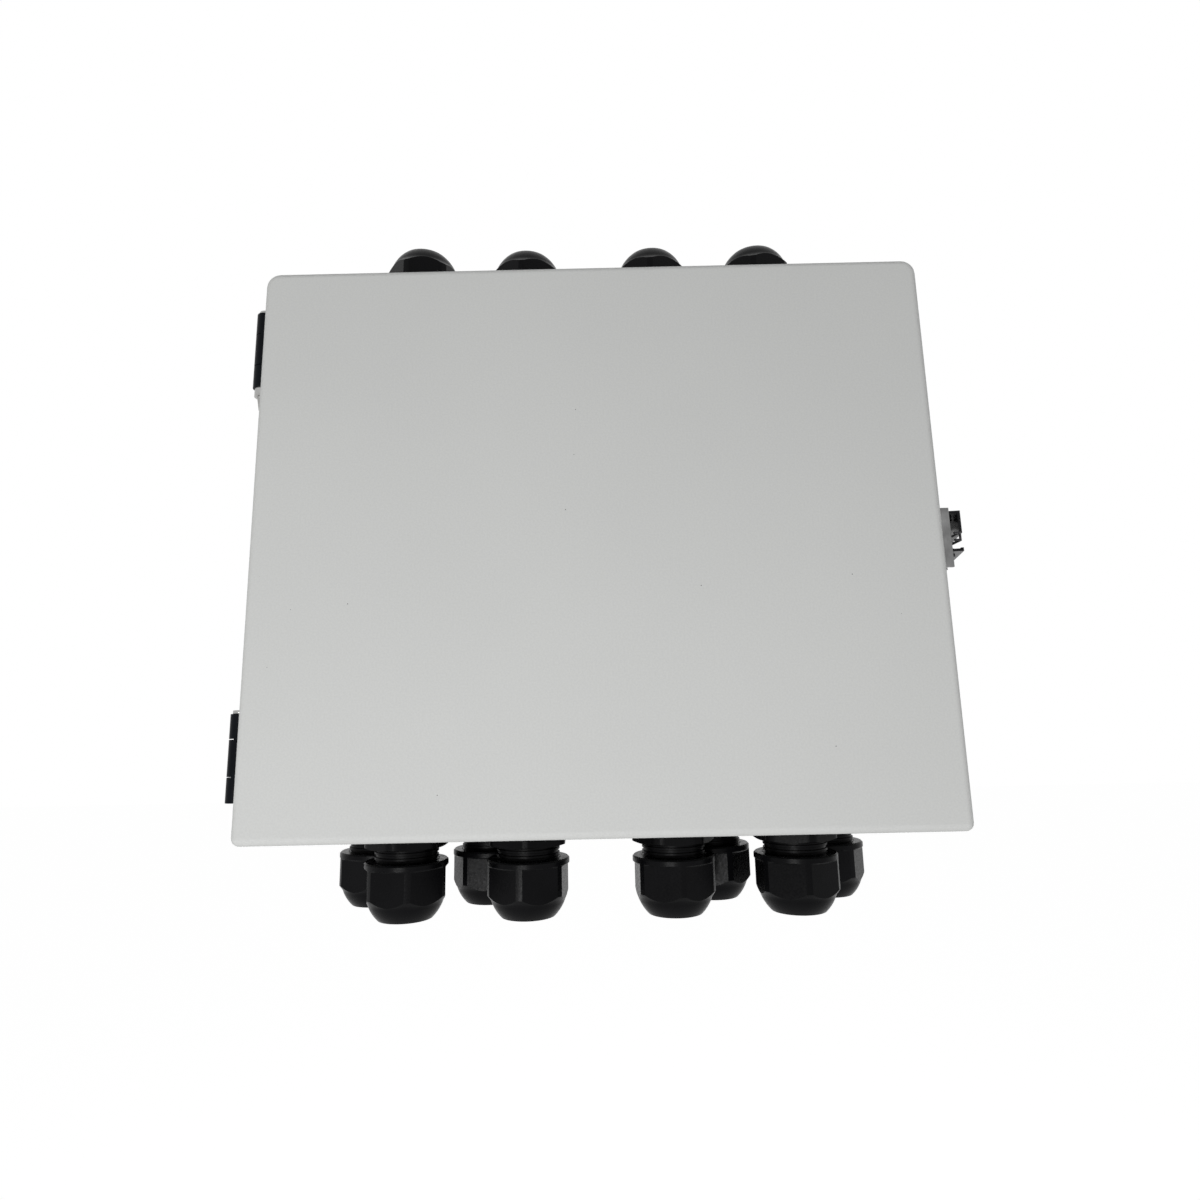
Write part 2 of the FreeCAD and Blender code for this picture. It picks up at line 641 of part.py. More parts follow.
def make_hinge(name, height):
    """Cast hinge with three knuckles: the middle one turns with the door."""
    half = "(sizes.hinge_length / 2)"
    half_middle = "(sizes.door_knuckle / 2)"
    leaf_x = "(sizes.hinge_offset - sizes.door_leaf)"
    pin_hole = "(sizes.hinge_pin_radius + sizes.pin_play)"

    # The door leaf stands off the outer barrels by the leaf clearance.
    leaf_back = "sizes.door_leaf_back"
    leaf_front = "(sizes.lid_flange - sizes.lid_bend)"
    leaf = box(
        "sizes.door_leaf",
        f"{leaf_front} - {leaf_back}",
        "sizes.door_leaf_height",
        leaf_x,
        f"-{leaf_front}",
        "-sizes.door_leaf_height / 2",
    )
    web = box(
        "sizes.hinge_offset",
        "sizes.knuckle_radius",
        "sizes.door_knuckle",
        0,
        "-sizes.knuckle_radius",
        f"-{half_middle}",
    )
    barrel = cylinder("sizes.knuckle_radius", "sizes.door_knuckle", z=f"-{half_middle}")
    holes = [cylinder(pin_hole, "sizes.door_knuckle", z=f"-{half_middle}")]
    rivet_y = f"{door_rivet_y} - {hinge_y}"
    for z in plus_minus("sizes.door_rivet_height"):
        holes.append(
            cylinder("sizes.rivet_radius", "sizes.hinge_offset", 0, rivet_y, z, "right")
        )
    door_leaf = cut(fuse(leaf, web, barrel), *holes)
    place(door_leaf, hinge_x, hinge_y, height)
    subpart(door_leaf, f"hinge_{name}_door_leaf")

    # The body leaf fills the step between the flange and the tub's side.
    wall_x = f"({hinge_x} + {tub_side})"
    pad_x = "(sizes.knuckle_radius + sizes.leaf_clearance)"
    pad_start = "sizes.body_leaf_start"
    outer_length = f"({half} - {half_middle} - sizes.knuckle_gap)"
    pieces = [
        box(
            f"-{wall_x} - {pad_x}",
            f"sizes.body_leaf_reach - {pad_start}",
            "sizes.hinge_length",
            pad_x,
            pad_start,
            f"-{half}",
        )
    ]
    for z in (f"({half} - {outer_length})", f"(-{half})"):
        pieces.append(cylinder("sizes.knuckle_radius", outer_length, z=z))
        pieces.append(
            box(pad_x, f"sizes.knuckle_radius - {pad_start}", outer_length, 0, pad_start, z)
        )
    holes = [cylinder("sizes.hinge_pin_radius", "sizes.hinge_length", z=f"-{half}")]
    rivet_y = f"{body_rivet_y} - {hinge_y}"
    for z in plus_minus("sizes.body_rivet_height"):
        holes.append(cylinder("sizes.rivet_radius", f"-{wall_x}", 0, rivet_y, z, "right"))
    body_leaf = cut(fuse(*pieces), *holes)
    place(body_leaf, hinge_x, hinge_y, height)
    subpart(body_leaf, f"hinge_{name}_body_leaf")

    # The upper pin ends in a collar and a taper below its barrel; the lower one
    # ends flush.
    shank = cylinder("sizes.hinge_pin_radius", "sizes.hinge_length", z=f"-{half}")
    head = cylinder("sizes.hinge_pin_radius * 1.6", "sizes.pin_head", z=half)
    pieces = [shank, head]
    if name == "upper":
        collar_end = f"(-{half} - sizes.pin_collar)"
        pieces += [
            cylinder("sizes.hinge_pin_radius * 1.6", "sizes.pin_collar", z=collar_end),
            cone(
                "sizes.hinge_pin_radius * 0.5",
                "sizes.hinge_pin_radius",
                "sizes.pin_tip",
                z=f"{collar_end} - sizes.pin_tip",
            ),
        ]
    pin = place(fuse(*pieces), hinge_x, hinge_y, height)
    subpart(pin, f"hinge_{name}_pin")


def make_hinge_rivets():
    pad_face = f"({hinge_x} + sizes.knuckle_radius + sizes.leaf_clearance)"
    body_grip = f"(sizes.sheet - {tub_side} - {pad_face})"
    leaf_face = f"(-{door_side} - sizes.door_leaf)"
    door_grip = "(sizes.door_leaf + sizes.sheet)"
    head = "sizes.rivet_head"
    body_rivets = [
        rivet(head, body_grip, pad_face, body_rivet_y, z, "left") for z in body_rivet_heights
    ]
    door_rivets = [
        rivet(head, door_grip, leaf_face, door_rivet_y, z, "left") for z in door_rivet_heights
    ]
    group("hinge_body_rivets", body_rivets)
    group("hinge_door_rivets", door_rivets)


# -------------------------------------------------------------------- the latch

# Shapes of the lever and its base lie about the lever's pivot, lever closed.
claw_eye = ("(-sizes.claw_pivot_in)", "sizes.claw_pivot_back")
cheek_gap = "(sizes.lever_width / 2 - sizes.lever_sheet)"


def make_latch_base():
    """Base plate riveted to the tub's side, with two ears for the lever."""
    wall = "(-sizes.latch_pivot_out)"
    ear_outer = f"({cheek_gap} - sizes.ear_gap)"
    ear_inner = f"({ear_outer} - sizes.lever_sheet)"
    pieces = [
        box(
            "sizes.lever_sheet",
            "sizes.base_length",
            f"2 * {ear_outer}",
            wall,
            "-sizes.ear_radius",
            f"-{ear_outer}",
        )
    ]
    for z in (ear_inner, f"(-{ear_outer})"):
        pieces.append(
            box(
                "sizes.latch_pivot_out",
                "2 * sizes.ear_radius",
                "sizes.lever_sheet",
                wall,
                "-sizes.ear_radius",
                z,
            )
        )
        pieces.append(cylinder("sizes.ear_radius", "sizes.lever_sheet", z=z))
    holes = [cylinder("sizes.latch_pin_radius", "sizes.lever_width", z="-sizes.lever_width / 2")]
    for y, z in base_rivets:
        holes.append(
            cylinder("sizes.rivet_radius", "sizes.lever_sheet", wall, f"{y} - {latch_y}", z, "right")
        )
    base = cut(fuse(*pieces), *holes)
    place(base, latch_x, latch_y, 0)
    subpart(base, "latch_base")
    head_x = f"({tub_side} + sizes.lever_sheet)"
    grip = "(sizes.lever_sheet + sizes.sheet)"
    group(
        "latch_base_rivets",
        [rivet("sizes.rivet_head", grip, head_x, y, z, "right") for y, z in base_rivets],
    )
    pins = []
    outer_face = f"({cheek_gap} + sizes.lever_sheet)"
    for way, z in (("up", outer_face), ("down", f"(-{outer_face})")):
        pieces = [
            cylinder("sizes.latch_pin_radius * 1.7", "sizes.rivet_head"),
            cylinder(
                "sizes.latch_pin_radius",
                "2 * sizes.lever_sheet + sizes.ear_gap",
                z="-2 * sizes.lever_sheet - sizes.ear_gap",
            ),
            cylinder(
                "sizes.latch_pin_radius * 1.5",
                "sizes.rivet_head / 2",
                z="-2 * sizes.lever_sheet - sizes.ear_gap - sizes.rivet_head / 2",
            ),
        ]
        pins.append(place(fuse(*pieces), latch_x, latch_y, z, way))
    group("latch_pivot_rivets", pins)


def make_latch_lever():
    """Over-centre lever, one folded channel: two cheeks, a back and a finger lip."""
    body = new_body("latch_lever")
    front = "(-sizes.lever_front)"
    lip_out = "(sizes.lever_back_out + sizes.lever_lip * 0.6)"
    lip_back = "(sizes.lever_length + sizes.lever_lip)"
    inside_front = "(sizes.lever_front_out - sizes.lever_sheet)"
    inside_back = "(sizes.lever_back_out - sizes.lever_sheet)"
    outline = [
        ("sizes.lever_front_out", front),
        ("sizes.lever_back_out", "sizes.lever_length"),
        (lip_out, lip_back),
        (f"{lip_out} - sizes.lever_sheet", f"{lip_back} + sizes.lever_sheet / 2"),
        (inside_back, "sizes.lever_length"),
        ("sizes.lever_back_out - 3.5", "sizes.lever_length"),
        ("-sizes.claw_pivot_in - 3", "sizes.claw_pivot_back + 4"),
        ("-sizes.claw_pivot_in - 3.2", "sizes.claw_pivot_back - 3"),
        ("-sizes.ear_radius", "-sizes.ear_radius"),
        ("-1", front),
    ]
    side = polygon(new_sketch(body, "XY_Plane"), outline)
    pad(body, side, "sizes.lever_width", both_ways=True)
    behind = "(-sizes.latch_pivot_out)"
    ahead = "(-sizes.lever_front - 1)"
    slope = "((sizes.lever_back_out - sizes.lever_front_out) / sizes.lever_length)"
    inside = [
        (f"{inside_front} - {slope}", ahead),
        (inside_back, "sizes.lever_length"),
        (behind, "sizes.lever_length"),
        (behind, ahead),
    ]
    hollow = polygon(new_sketch(body, "XY_Plane"), inside)
    pocket(body, hollow, f"2 * {cheek_gap}", both_ways=True)
    slot = [
        ("0", ahead),
        ("sizes.latch_pivot_out", ahead),
        ("sizes.latch_pivot_out", "sizes.lever_notch_back"),
        ("0", "sizes.lever_notch_back"),
    ]
    notch = polygon(new_sketch(body, "XY_Plane", "-sizes.lever_notch_drop"), slot)
    pocket(body, notch, "sizes.lever_notch", both_ways=True)
    running = "(sizes.latch_pin_radius + sizes.pin_play)"
    hole = circles(new_sketch(body, "XY_Plane"), [("0", "0")], running)
    pocket(body, hole, "sizes.lever_width", both_ways=True)
    hole = circles(new_sketch(body, "XY_Plane"), [claw_eye], "sizes.latch_pin_radius")
    pocket(body, hole, "sizes.lever_width", both_ways=True)
    return body


def make_claw_pin():
    half = "(sizes.lever_width / 2)"
    pieces = [cylinder("sizes.latch_pin_radius", "sizes.lever_width", *claw_eye, f"-{half}")]
    for z in (half, f"(-{half} - sizes.rivet_head)"):
        pieces.append(cylinder("sizes.latch_pin_radius * 1.6", "sizes.rivet_head", *claw_eye, z))
    return fuse(*pieces)


def rest_lever(item, label):
    """Puts a piece of the lever at its rest, lifted off its closed place."""
    item.Placement = Placement(Vector(0, 0, 0), Rotation(Vector(0, 0, -1), 1))
    item.setExpression("Placement.Rotation.Angle", "sizes.lever_rest_lift")
    item.setExpression("Placement.Base.x", latch_x)
    item.setExpression("Placement.Base.y", latch_y)
    return subpart(item, label)


keeper_top = "(sizes.claw_pivot_in + sizes.claw_sheet / 2 + sizes.claw_clearance)"


def make_latch_claw():
    """Hooked claw on the lever that pulls the keeper towards the wall."""
    body = new_body("latch_claw")
    half = "(sizes.claw_sheet / 2)"
    eye_depth = "(sizes.latch_pivot_depth + sizes.claw_pivot_back)"
    hook_back = f"(sizes.keeper_depth - sizes.claw_clearance - {eye_depth})"
    hook_front = f"({hook_back} - sizes.claw_sheet)"
    hook_tip = f"(-{half} - sizes.claw_clearance - sizes.claw_catch)"
    outline = [
        (half, "0"),
        (half, f"{hook_front} + sizes.claw_sheet / 2"),
        ("0", hook_front),
        (hook_tip, hook_front),
        (hook_tip, hook_back),
        (f"-{half}", hook_back),
        (f"-{half}", "0"),
    ]
    drop = "-sizes.claw_drop"
    side = polygon(new_sketch(body, "XY_Plane", drop), outline)
    pad(body, side, "sizes.claw_width", both_ways=True)
    # A window leaves two arms, joined at their front by a thin cross bar.
    beyond = f"({hook_tip} - sizes.claw_sheet)"
    bar_back = f"({hook_front} + sizes.claw_bar)"
    opening = [
        (beyond, f"{hook_front} - sizes.claw_sheet"),
        (f"-{half}", f"{hook_front} - sizes.claw_sheet"),
        (f"-{half}", bar_back),
        ("sizes.claw_sheet", bar_back),
        ("sizes.claw_sheet", "-sizes.claw_barrel_radius - sizes.claw_bar"),
        (beyond, "-sizes.claw_barrel_radius - sizes.claw_bar"),
    ]
    window = polygon(new_sketch(body, "XY_Plane", drop), opening)
    pocket(body, window, "sizes.claw_window", both_ways=True)
    eye = circles(new_sketch(body, "XY_Plane"), [("0", "0")], "sizes.claw_barrel_radius")
    barrel_length = f"2 * ({cheek_gap} - sizes.ear_gap - sizes.lever_sheet - sizes.ear_gap)"
    pad(body, eye, barrel_length, both_ways=True)
    running = "(sizes.latch_pin_radius + sizes.pin_play)"
    hole = circles(new_sketch(body, "XY_Plane"), [("0", "0")], running)
    pocket(body, hole, "sizes.lever_width", both_ways=True)
    lift = "sizes.lever_rest_lift"
    body.Placement = Placement(Vector(0, 0, 0), Rotation(Vector(0, 0, 1), 1))
    body.setExpression("Placement.Rotation.Angle", f"(sizes.claw_follow - 1) * {lift}")
    out = f"sizes.claw_pivot_back * sin({lift}) - sizes.claw_pivot_in * cos({lift})"
    back = f"sizes.claw_pivot_back * cos({lift}) + sizes.claw_pivot_in * sin({lift})"
    body.setExpression("Placement.Base.x", f"{latch_x} + {out}")
    body.setExpression("Placement.Base.y", f"{latch_y} + {back}")
    return subpart(body, "latch_claw")


def make_latch_keeper():
    """Angle on the door's flange whose lip the claw holds."""
    lip_height = f"({latch_x} - {door_side} - {keeper_top})"
    foot = box(
        "sizes.lever_sheet",
        "sizes.keeper_foot",
        "sizes.keeper_width",
        door_side,
        keeper_y,
        "-sizes.keeper_width / 2 - sizes.claw_drop",
    )
    lip = box(
        lip_height,
        "sizes.lever_sheet",
        "sizes.keeper_lip_width",
        door_side,
        keeper_y,
        "-sizes.keeper_lip_width / 2 - sizes.claw_drop",
    )
    holes = [
        cylinder("sizes.rivet_radius", "sizes.lever_sheet", door_side, y, z, "right")
        for y, z in keeper_rivets
    ]
    subpart(cut(fuse(foot, lip), *holes), "latch_keeper")
    head_x = f"({door_side} + sizes.lever_sheet)"
    grip = "(sizes.lever_sheet + sizes.sheet)"
    group(
        "latch_keeper_rivets",
        [rivet("sizes.rivet_head", grip, head_x, y, z, "right") for y, z in keeper_rivets],
    )


# ------------------------------------------------------- plate, busbars and fuses


def make_mounting_plate():
    body = new_body("mounting_plate")
    sheet_outline = rounded_rectangle(
        new_sketch(body, "XZ_Plane", f"-{plate_back}"),
        "sizes.plate_width",
        "sizes.plate_height",
        "sizes.plate_corner",
    )
    pad(body, sheet_outline, "sizes.plate_thick")
    patterns = [
        (plate_studs, "sizes.stud_radius + sizes.hole_clearance"),
        (insulator_points, "sizes.screw_radius + sizes.hole_clearance"),
        (guard_points, "sizes.guard_screw_radius + sizes.hole_clearance"),
        ([("0", "sizes.earth_stud_height")], "sizes.bolt_radius + sizes.hole_clearance"),
    ]
    for points, radius in patterns:
        holes = circles(new_sketch(body, "XZ_Plane", f"-{plate_back}"), points, radius)
        pocket(body, holes, "sizes.plate_thick", ahead=True)
    return subpart(body, "mounting_plate")


def hex_bolt(flats, head, radius, length, x, y, z, way="front"):
    """A bolt whose head sits at the given place, its shank going back from there."""
    head_piece = common(
        hexagon(flats, head), cone(f"({flats}) * 0.62", f"({flats}) * 0.53", head)
    )
    shank = cylinder(radius, length, z=f"-({length})")
    return place(fuse(head_piece, shank), x, y, z, way)


def hex_nut(flats, radius, height, x, y, z, way="front"):
    """A nut that starts at the given place and rises the given way."""
    blank = common(
        hexagon(flats, height), cone(f"({flats}) * 0.62", f"({flats}) * 0.53", height)
    )
    return place(cut(blank, cylinder(radius, height)), x, y, z, way)


def ring(radius, bore, height, x, y, z, way="front"):
    return place(cut(cylinder(radius, height), cylinder(bore, height)), x, y, z, way)


def make_plate_fixings():
    studs = []
    nuts = []
    nut_height = "(sizes.stud_radius * 1.7)"
    for x, z in plate_studs:
        collar = cylinder("sizes.stud_collar_radius", "sizes.plate_gap", z="sizes.sheet")
        reach = f"(-{plate_front} + {nut_height} + 3)"
        stud = cylinder("sizes.stud_radius", reach)
        studs.append(place(fuse(collar, stud), x, 0, z, "front"))
        nuts.append(hex_nut("sizes.screw_flats", "sizes.stud_radius", nut_height, x, plate_front, z))
    group("mounting_plate_studs", studs)
    group("mounting_plate_nuts", nuts)


def insulator(x, z, top_radius):
    """Moulded standoff with two waist ribs and a threaded insert at each end."""
    height = "sizes.insulator_height"
    waist = "(sizes.insulator_radius * 0.84)"
    solid = [cylinder(waist, height)]
    for share in (0, 0.4, 0.8):
        solid.append(cylinder("sizes.insulator_radius", f"{height} * 0.2", z=f"{height} * {share}"))
    holes = [
        cylinder("sizes.screw_radius", "sizes.thread_hold"),
        cylinder(top_radius, "sizes.thread_hold + 1", z=f"{height} - sizes.thread_hold - 1"),
    ]
    return place(cut(fuse(*solid), *holes), x, plate_front, z, "front")


def make_insulators():
    under_bars = [insulator(x, z, "sizes.screw_radius") for x, z in bar_insulator_points]
    under_strings = [insulator(x, z, "sizes.bolt_radius") for x, z in string_insulator_points]
    group("busbar_insulators", under_bars)
    group("string_insulators", under_strings)
    base_length = "(sizes.plate_thick + sizes.thread_hold)"
    base_screws = [
        hex_bolt(
            "sizes.screw_flats",
            "sizes.screw_head",
            "sizes.screw_radius",
            base_length,
            x,
            plate_back,
            z,
            "back",
        )
        for x, z in insulator_points
    ]
    group("insulator_base_screws", base_screws)
    bar_length = "(sizes.bar_thick + sizes.thread_hold)"
    bar_screws = [
        hex_bolt("sizes.screw_flats", "sizes.screw_head", "sizes.screw_radius", bar_length, x, bar_front, z)
        for x, z in bar_insulator_points
    ]
    group("busbar_screws", bar_screws)


def bar_terminals(bar_x):
    """Centres of a busbar's four string terminals and two output terminals."""
    strings = [(string_x(bar_x, index), string_z) for index in range(4)]
    outputs = [(f"({bar_x} + {x})", output_z) for x in plus_minus("sizes.output_pitch / 2")]
    return strings, outputs


def make_busbar(name, bar_x):
    """Flat copper bar; the sketch lies about the bar's own middle."""
    body = new_body(f"busbar_{name}")
    outline = rounded_rectangle(new_sketch(body, "XZ_Plane"), "sizes.bar_length", "sizes.bar_height", "2")
    pad(body, outline, "sizes.bar_thick")
    strings, outputs = bar_terminals("0")
    low = [(x, "-sizes.string_row") for x, _ in strings]
    high = [(x, "sizes.output_row") for x, _ in outputs]
    terminals = circles(
        new_sketch(body, "XZ_Plane"), low + high, "sizes.bolt_radius + sizes.hole_clearance"
    )
    pocket(body, terminals, "sizes.bar_thick", ahead=True)
    fixings = [(x, "0") for x in plus_minus("sizes.bar_insulators / 2")]
    holes = circles(
        new_sketch(body, "XZ_Plane"), fixings, "sizes.screw_radius + sizes.hole_clearance"
    )
    pocket(body, holes, "sizes.bar_thick", ahead=True)
    place(body, bar_x, bar_back, "sizes.bar_centre_z")
    return subpart(body, f"busbar_{name}")


def make_string_parts():
    """Four fuses, each from its own terminal pad up to the positive busbar."""
    pads = []
    tags = []
    fuses = []
    hole = "(sizes.bolt_radius + sizes.hole_clearance)"
    tag_length = "(sizes.fuse_pitch + sizes.fuse_width)"
    for x, z in string_insulator_points:
        plate = box(
            "sizes.pad_width", "sizes.bar_thick", "sizes.pad_height",
            f"{x} - sizes.pad_width / 2", bar_front, f"{z} - sizes.pad_height / 2",
        )
        pads.append(cut(plate, cylinder(hole, "sizes.bar_thick", x, bar_back, z, "front")))
        strip = box(
            "sizes.fuse_width", "sizes.fuse_tag", "sizes.fuse_pitch",
            f"{x} - sizes.fuse_width / 2", f"{bar_front} - sizes.fuse_tag", z,
        )
        ends = [
            cylinder("sizes.fuse_width / 2", "sizes.fuse_tag", x, bar_front, end, "front")
            for end in (z, string_z)
        ]
        holes = [cylinder(hole, "sizes.fuse_tag", x, bar_front, end, "front") for end in (z, string_z)]
        tags.append(cut(fuse(strip, *ends), *holes))
        middle = f"({z} + sizes.fuse_pitch / 2)"
        shell = box(
            "sizes.fuse_body_width", "sizes.fuse_body_thick", "sizes.fuse_body_length",
            f"{x} - sizes.fuse_body_width / 2",
            f"{bar_front} - sizes.fuse_tag / 2 - sizes.fuse_body_thick / 2",
            f"{middle} - sizes.fuse_body_length / 2",
        )
        way_through = box(
            "sizes.fuse_width", "sizes.fuse_tag", "sizes.fuse_body_length",
            f"{x} - sizes.fuse_width / 2", f"{bar_front} - sizes.fuse_tag",
            f"{middle} - sizes.fuse_body_length / 2",
        )
        fuses.append(cut(shell, way_through))
    group("string_terminal_pads", pads)
    group("fuse_tags", tags)
    group("string_fuses", fuses)


def make_terminals():
    """M8 bolts of the strings and busbars, with their washers and nuts."""
    flats = "sizes.bolt_flats"
    radius = "sizes.bolt_radius"
    washer_hole = "(sizes.bolt_radius + sizes.hole_clearance)"
    on_tag = f"({bar_front} - sizes.fuse_tag)"
    string_bolts = []
    bar_bolts = []
    nuts = []
    washers = []
    into_pad = "(sizes.washer_thick + sizes.fuse_tag + sizes.bar_thick + sizes.thread_hold)"
    for x, z in string_insulator_points:
        washers.append(ring("sizes.washer_radius", washer_hole, "sizes.washer_thick", x, on_tag, z))
        head_y = f"({on_tag} - sizes.washer_thick)"
        string_bolts.append(hex_bolt(flats, "sizes.bolt_head", radius, into_pad, x, head_y, z))
    for name, bar_x in BUSBARS:
        strings, outputs = bar_terminals(bar_x)
        for x, z in strings + outputs:
            fused = name == "positive" and (x, z) in strings
            seat = on_tag if fused else bar_front
            head_y = f"({seat} - sizes.washer_thick)"
            reach = f"({bar_back} - {head_y} + sizes.bolt_nut + 2)"
            washers.append(ring("sizes.washer_radius", washer_hole, "sizes.washer_thick", x, seat, z))
            bar_bolts.append(hex_bolt(flats, "sizes.bolt_head", radius, reach, x, head_y, z))
            nuts.append(hex_nut(flats, radius, "sizes.bolt_nut", x, bar_back, z, "back"))
    group("string_terminal_bolts", string_bolts)
    group("busbar_terminal_bolts", bar_bolts)
    group("busbar_terminal_nuts", nuts)
    group("terminal_washers", washers)


def make_touch_guard():
    """Clear cover over the live parts, on four pillars from the plate."""
    body = new_body("touch_guard")
    outline = rounded_rectangle(
        new_sketch(body, "XZ_Plane"), "sizes.guard_width", "sizes.guard_height", "sizes.plate_corner"
    )
    pad(body, outline, "sizes.guard_thick")
    points = rectangle_of("sizes.pillar_pitch_wide", "sizes.pillar_pitch_high")
    holes = circles(
        new_sketch(body, "XZ_Plane"), points, "sizes.guard_screw_radius + sizes.hole_clearance"
    )
    pocket(body, holes, "sizes.guard_thick", ahead=True)
    place(body, 0, guard_back, "sizes.guard_centre_z")
    subpart(body, "touch_guard")
    pillars = []
    screws = []
    for x, z in guard_points:
        stub = cylinder("sizes.guard_screw_radius", "sizes.plate_thick", z="-sizes.plate_thick")
        solid = fuse(hexagon("sizes.pillar_flats", "sizes.pillar_length"), stub)
        hold = "sizes.guard_screw_hold"
        hole = cylinder("sizes.guard_screw_radius", hold, z=f"sizes.pillar_length - {hold}")
        pillars.append(place(cut(solid, hole), x, plate_front, z, "front"))
        head = cone(
            "sizes.guard_screw_head_radius",
            "sizes.guard_screw_head_radius * 0.7",
            "sizes.guard_screw_head",
        )
        length = f"(sizes.guard_thick + {hold})"
        shank = cylinder("sizes.guard_screw_radius", length, z=f"-{length}")
        screws.append(place(fuse(head, shank), x, guard_front, z, "front"))
    group("guard_pillars", pillars)
    group("guard_screws", screws)


def make_earth_studs():
    flats = "sizes.bolt_flats"
    height = "sizes.earth_stud_height"
    length = "(sizes.plate_thick + sizes.earth_stud_length)"
    bolt = hex_bolt(flats, "sizes.bolt_head", "sizes.bolt_radius", length, 0, plate_back, height, "back")
    subpart(bolt, "earth_stud")
    washer_hole = "(sizes.bolt_radius + sizes.hole_clearance)"
    washer_end = f"({plate_front} - sizes.washer_thick)"
    nuts = [
        ring("sizes.washer_radius", washer_hole, "sizes.washer_thick", 0, plate_front, height),
        hex_nut(flats, "sizes.bolt_radius", "sizes.bolt_nut", 0, washer_end, height),
        hex_nut(
            flats, "sizes.bolt_radius", "sizes.bolt_nut", 0, f"{washer_end} - sizes.bolt_nut - 1.5", height
        ),
    ]
    group("earth_nuts", nuts)
    inside = "(sizes.sheet - sizes.box_depth)"
    stud_x = f"(sizes.door_stud_in - {door_side})"
    stud = cylinder("sizes.screw_radius", "sizes.door_stud_length", stud_x, inside, 0, "back")
    collar = cylinder("sizes.screw_radius * 1.5", "1", stud_x, inside, 0, "back")
    nut = hex_nut(
        "sizes.screw_flats", "sizes.screw_radius", "sizes.screw_radius * 1.7",
        stud_x, f"{inside} + 1", 0, "back",
    )
    group("door_earth_stud", [fuse(stud, collar), nut])


# ------------------------------------------------------------- the cable glands


def turned(name, outline):
    """A lathe-turned solid from a half outline of radius and height pairs."""
    body = new_body(name)
    sketch = polygon(new_sketch(body, "XZ_Plane"), outline)
    revolve(body, sketch)
    return body


def nut_start(way):
    """Height of a gland's nut above the wall that the gland stands on."""
    show = "above" if way == "up" else "below"
    return f"({collar_top} + sizes.gland_show_{show})"


def gland_body(x, y, wall, way):
    """Nylon body: thread through the wall, hexagonal collar and grooved neck."""
    neck_end = f"({nut_start(way)} + sizes.gland_neck_grip)"
    groove = "(sizes.gland_neck_radius - sizes.gland_groove)"
    flat = "(sizes.gland_flats / 2 - sizes.gland_edge)"
    bands = 1 if way == "up" else 5
    step = f"(({nut_start(way)} - {collar_top}) / {bands})"
    thread_end = "(-sizes.sheet - sizes.gland_tail)"
    seal_start = f"({neck_end} - sizes.seal_length)"
    outline = [
        ("sizes.gland_bore_radius", thread_end),
        ("sizes.gland_thread_radius - sizes.gland_edge", thread_end),
        ("sizes.gland_thread_radius", f"{thread_end} + sizes.gland_edge"),
        ("sizes.gland_thread_radius", "sizes.gland_washer"),
        (flat, "sizes.gland_washer"),
        ("sizes.gland_corner_radius", "sizes.gland_washer + sizes.gland_edge"),
        ("sizes.gland_corner_radius", f"{collar_top} - sizes.gland_edge"),
        (flat, collar_top),
        (groove, collar_top),
    ]
    # Grooves and lands take turns along the neck, with a groove at either end.
    radii = (groove, "sizes.gland_neck_radius")
    for band in range(bands):
        end = f"{collar_top} + {band + 1} * {step}"
        outline.append((radii[band % 2], end))
        outline.append((radii[(band + 1) % 2], f"{end} + sizes.groove_end"))
    outline += [
        ("sizes.gland_neck_radius", neck_end),
        ("sizes.seal_radius", neck_end),
        ("sizes.seal_radius", seal_start),
        ("sizes.gland_bore_radius", seal_start),
    ]
    shape = common(
        turned("gland_body", outline),
        hexagon("sizes.gland_flats", f"{neck_end} - {thread_end}", thread_end),
    )
    return place(shape, x, y, wall, way)


def dome_nut(label, x, y, z, way, turn):
    """Dome nut: a round skirt, six flats, then a dome that ends in its mouth."""
    corner = "sizes.gland_corner_radius"
    flat = "(sizes.gland_flats / 2)"
    edge = "sizes.gland_edge"
    straight = "sizes.gland_nut_straight"
    start = "sizes.gland_dome_start"
    length = "sizes.gland_nut_length"
    dome = f"({length} - {start})"
    # A ball through the ends of the flats and the mouth's rim makes the dome.
    drop = f"(({flat} ^ 2 - sizes.gland_mouth_rim ^ 2 - {dome} ^ 2) / (2 * {dome}))"
    ball = doc.addObject("Part::Sphere", "ball")
    ball.setExpression("Radius", f"sqrt({flat} ^ 2 + {drop} ^ 2)")
    place(ball, z=f"{start} - {drop}")
    blank = fuse(
        cylinder(corner, f"{straight} - {edge}", z=edge),
        cone(corner, flat, f"{start} - {straight}", z=straight),
        common(ball, cylinder(corner, dome, z=start)),
    )
    shaped = fuse(
        common(blank, hexagon("sizes.gland_flats", length)),
        cone(f"{corner} - {edge}", corner, edge),
        cylinder(corner, f"sizes.gland_nut_skirt - 2 * {edge}", z=edge),
        cone(corner, f"{corner} - {edge}", edge, z=f"sizes.gland_nut_skirt - {edge}"),
    )
    bore = "(sizes.gland_neck_radius + sizes.pin_play)"
    mouth = f"({length} - sizes.gland_mouth_length)"
    holes = [
        cylinder(bore, "sizes.gland_thread_depth"),
        cone(
            bore,
            "sizes.gland_bore_radius",
            f"{mouth} - sizes.gland_thread_depth",
            z="sizes.gland_thread_depth",
        ),
        cylinder("sizes.gland_bore_radius", "sizes.gland_mouth_length", z=mouth),
    ]
    return subpart(place(cut(shaped, *holes), x, y, z, way, turn), label)


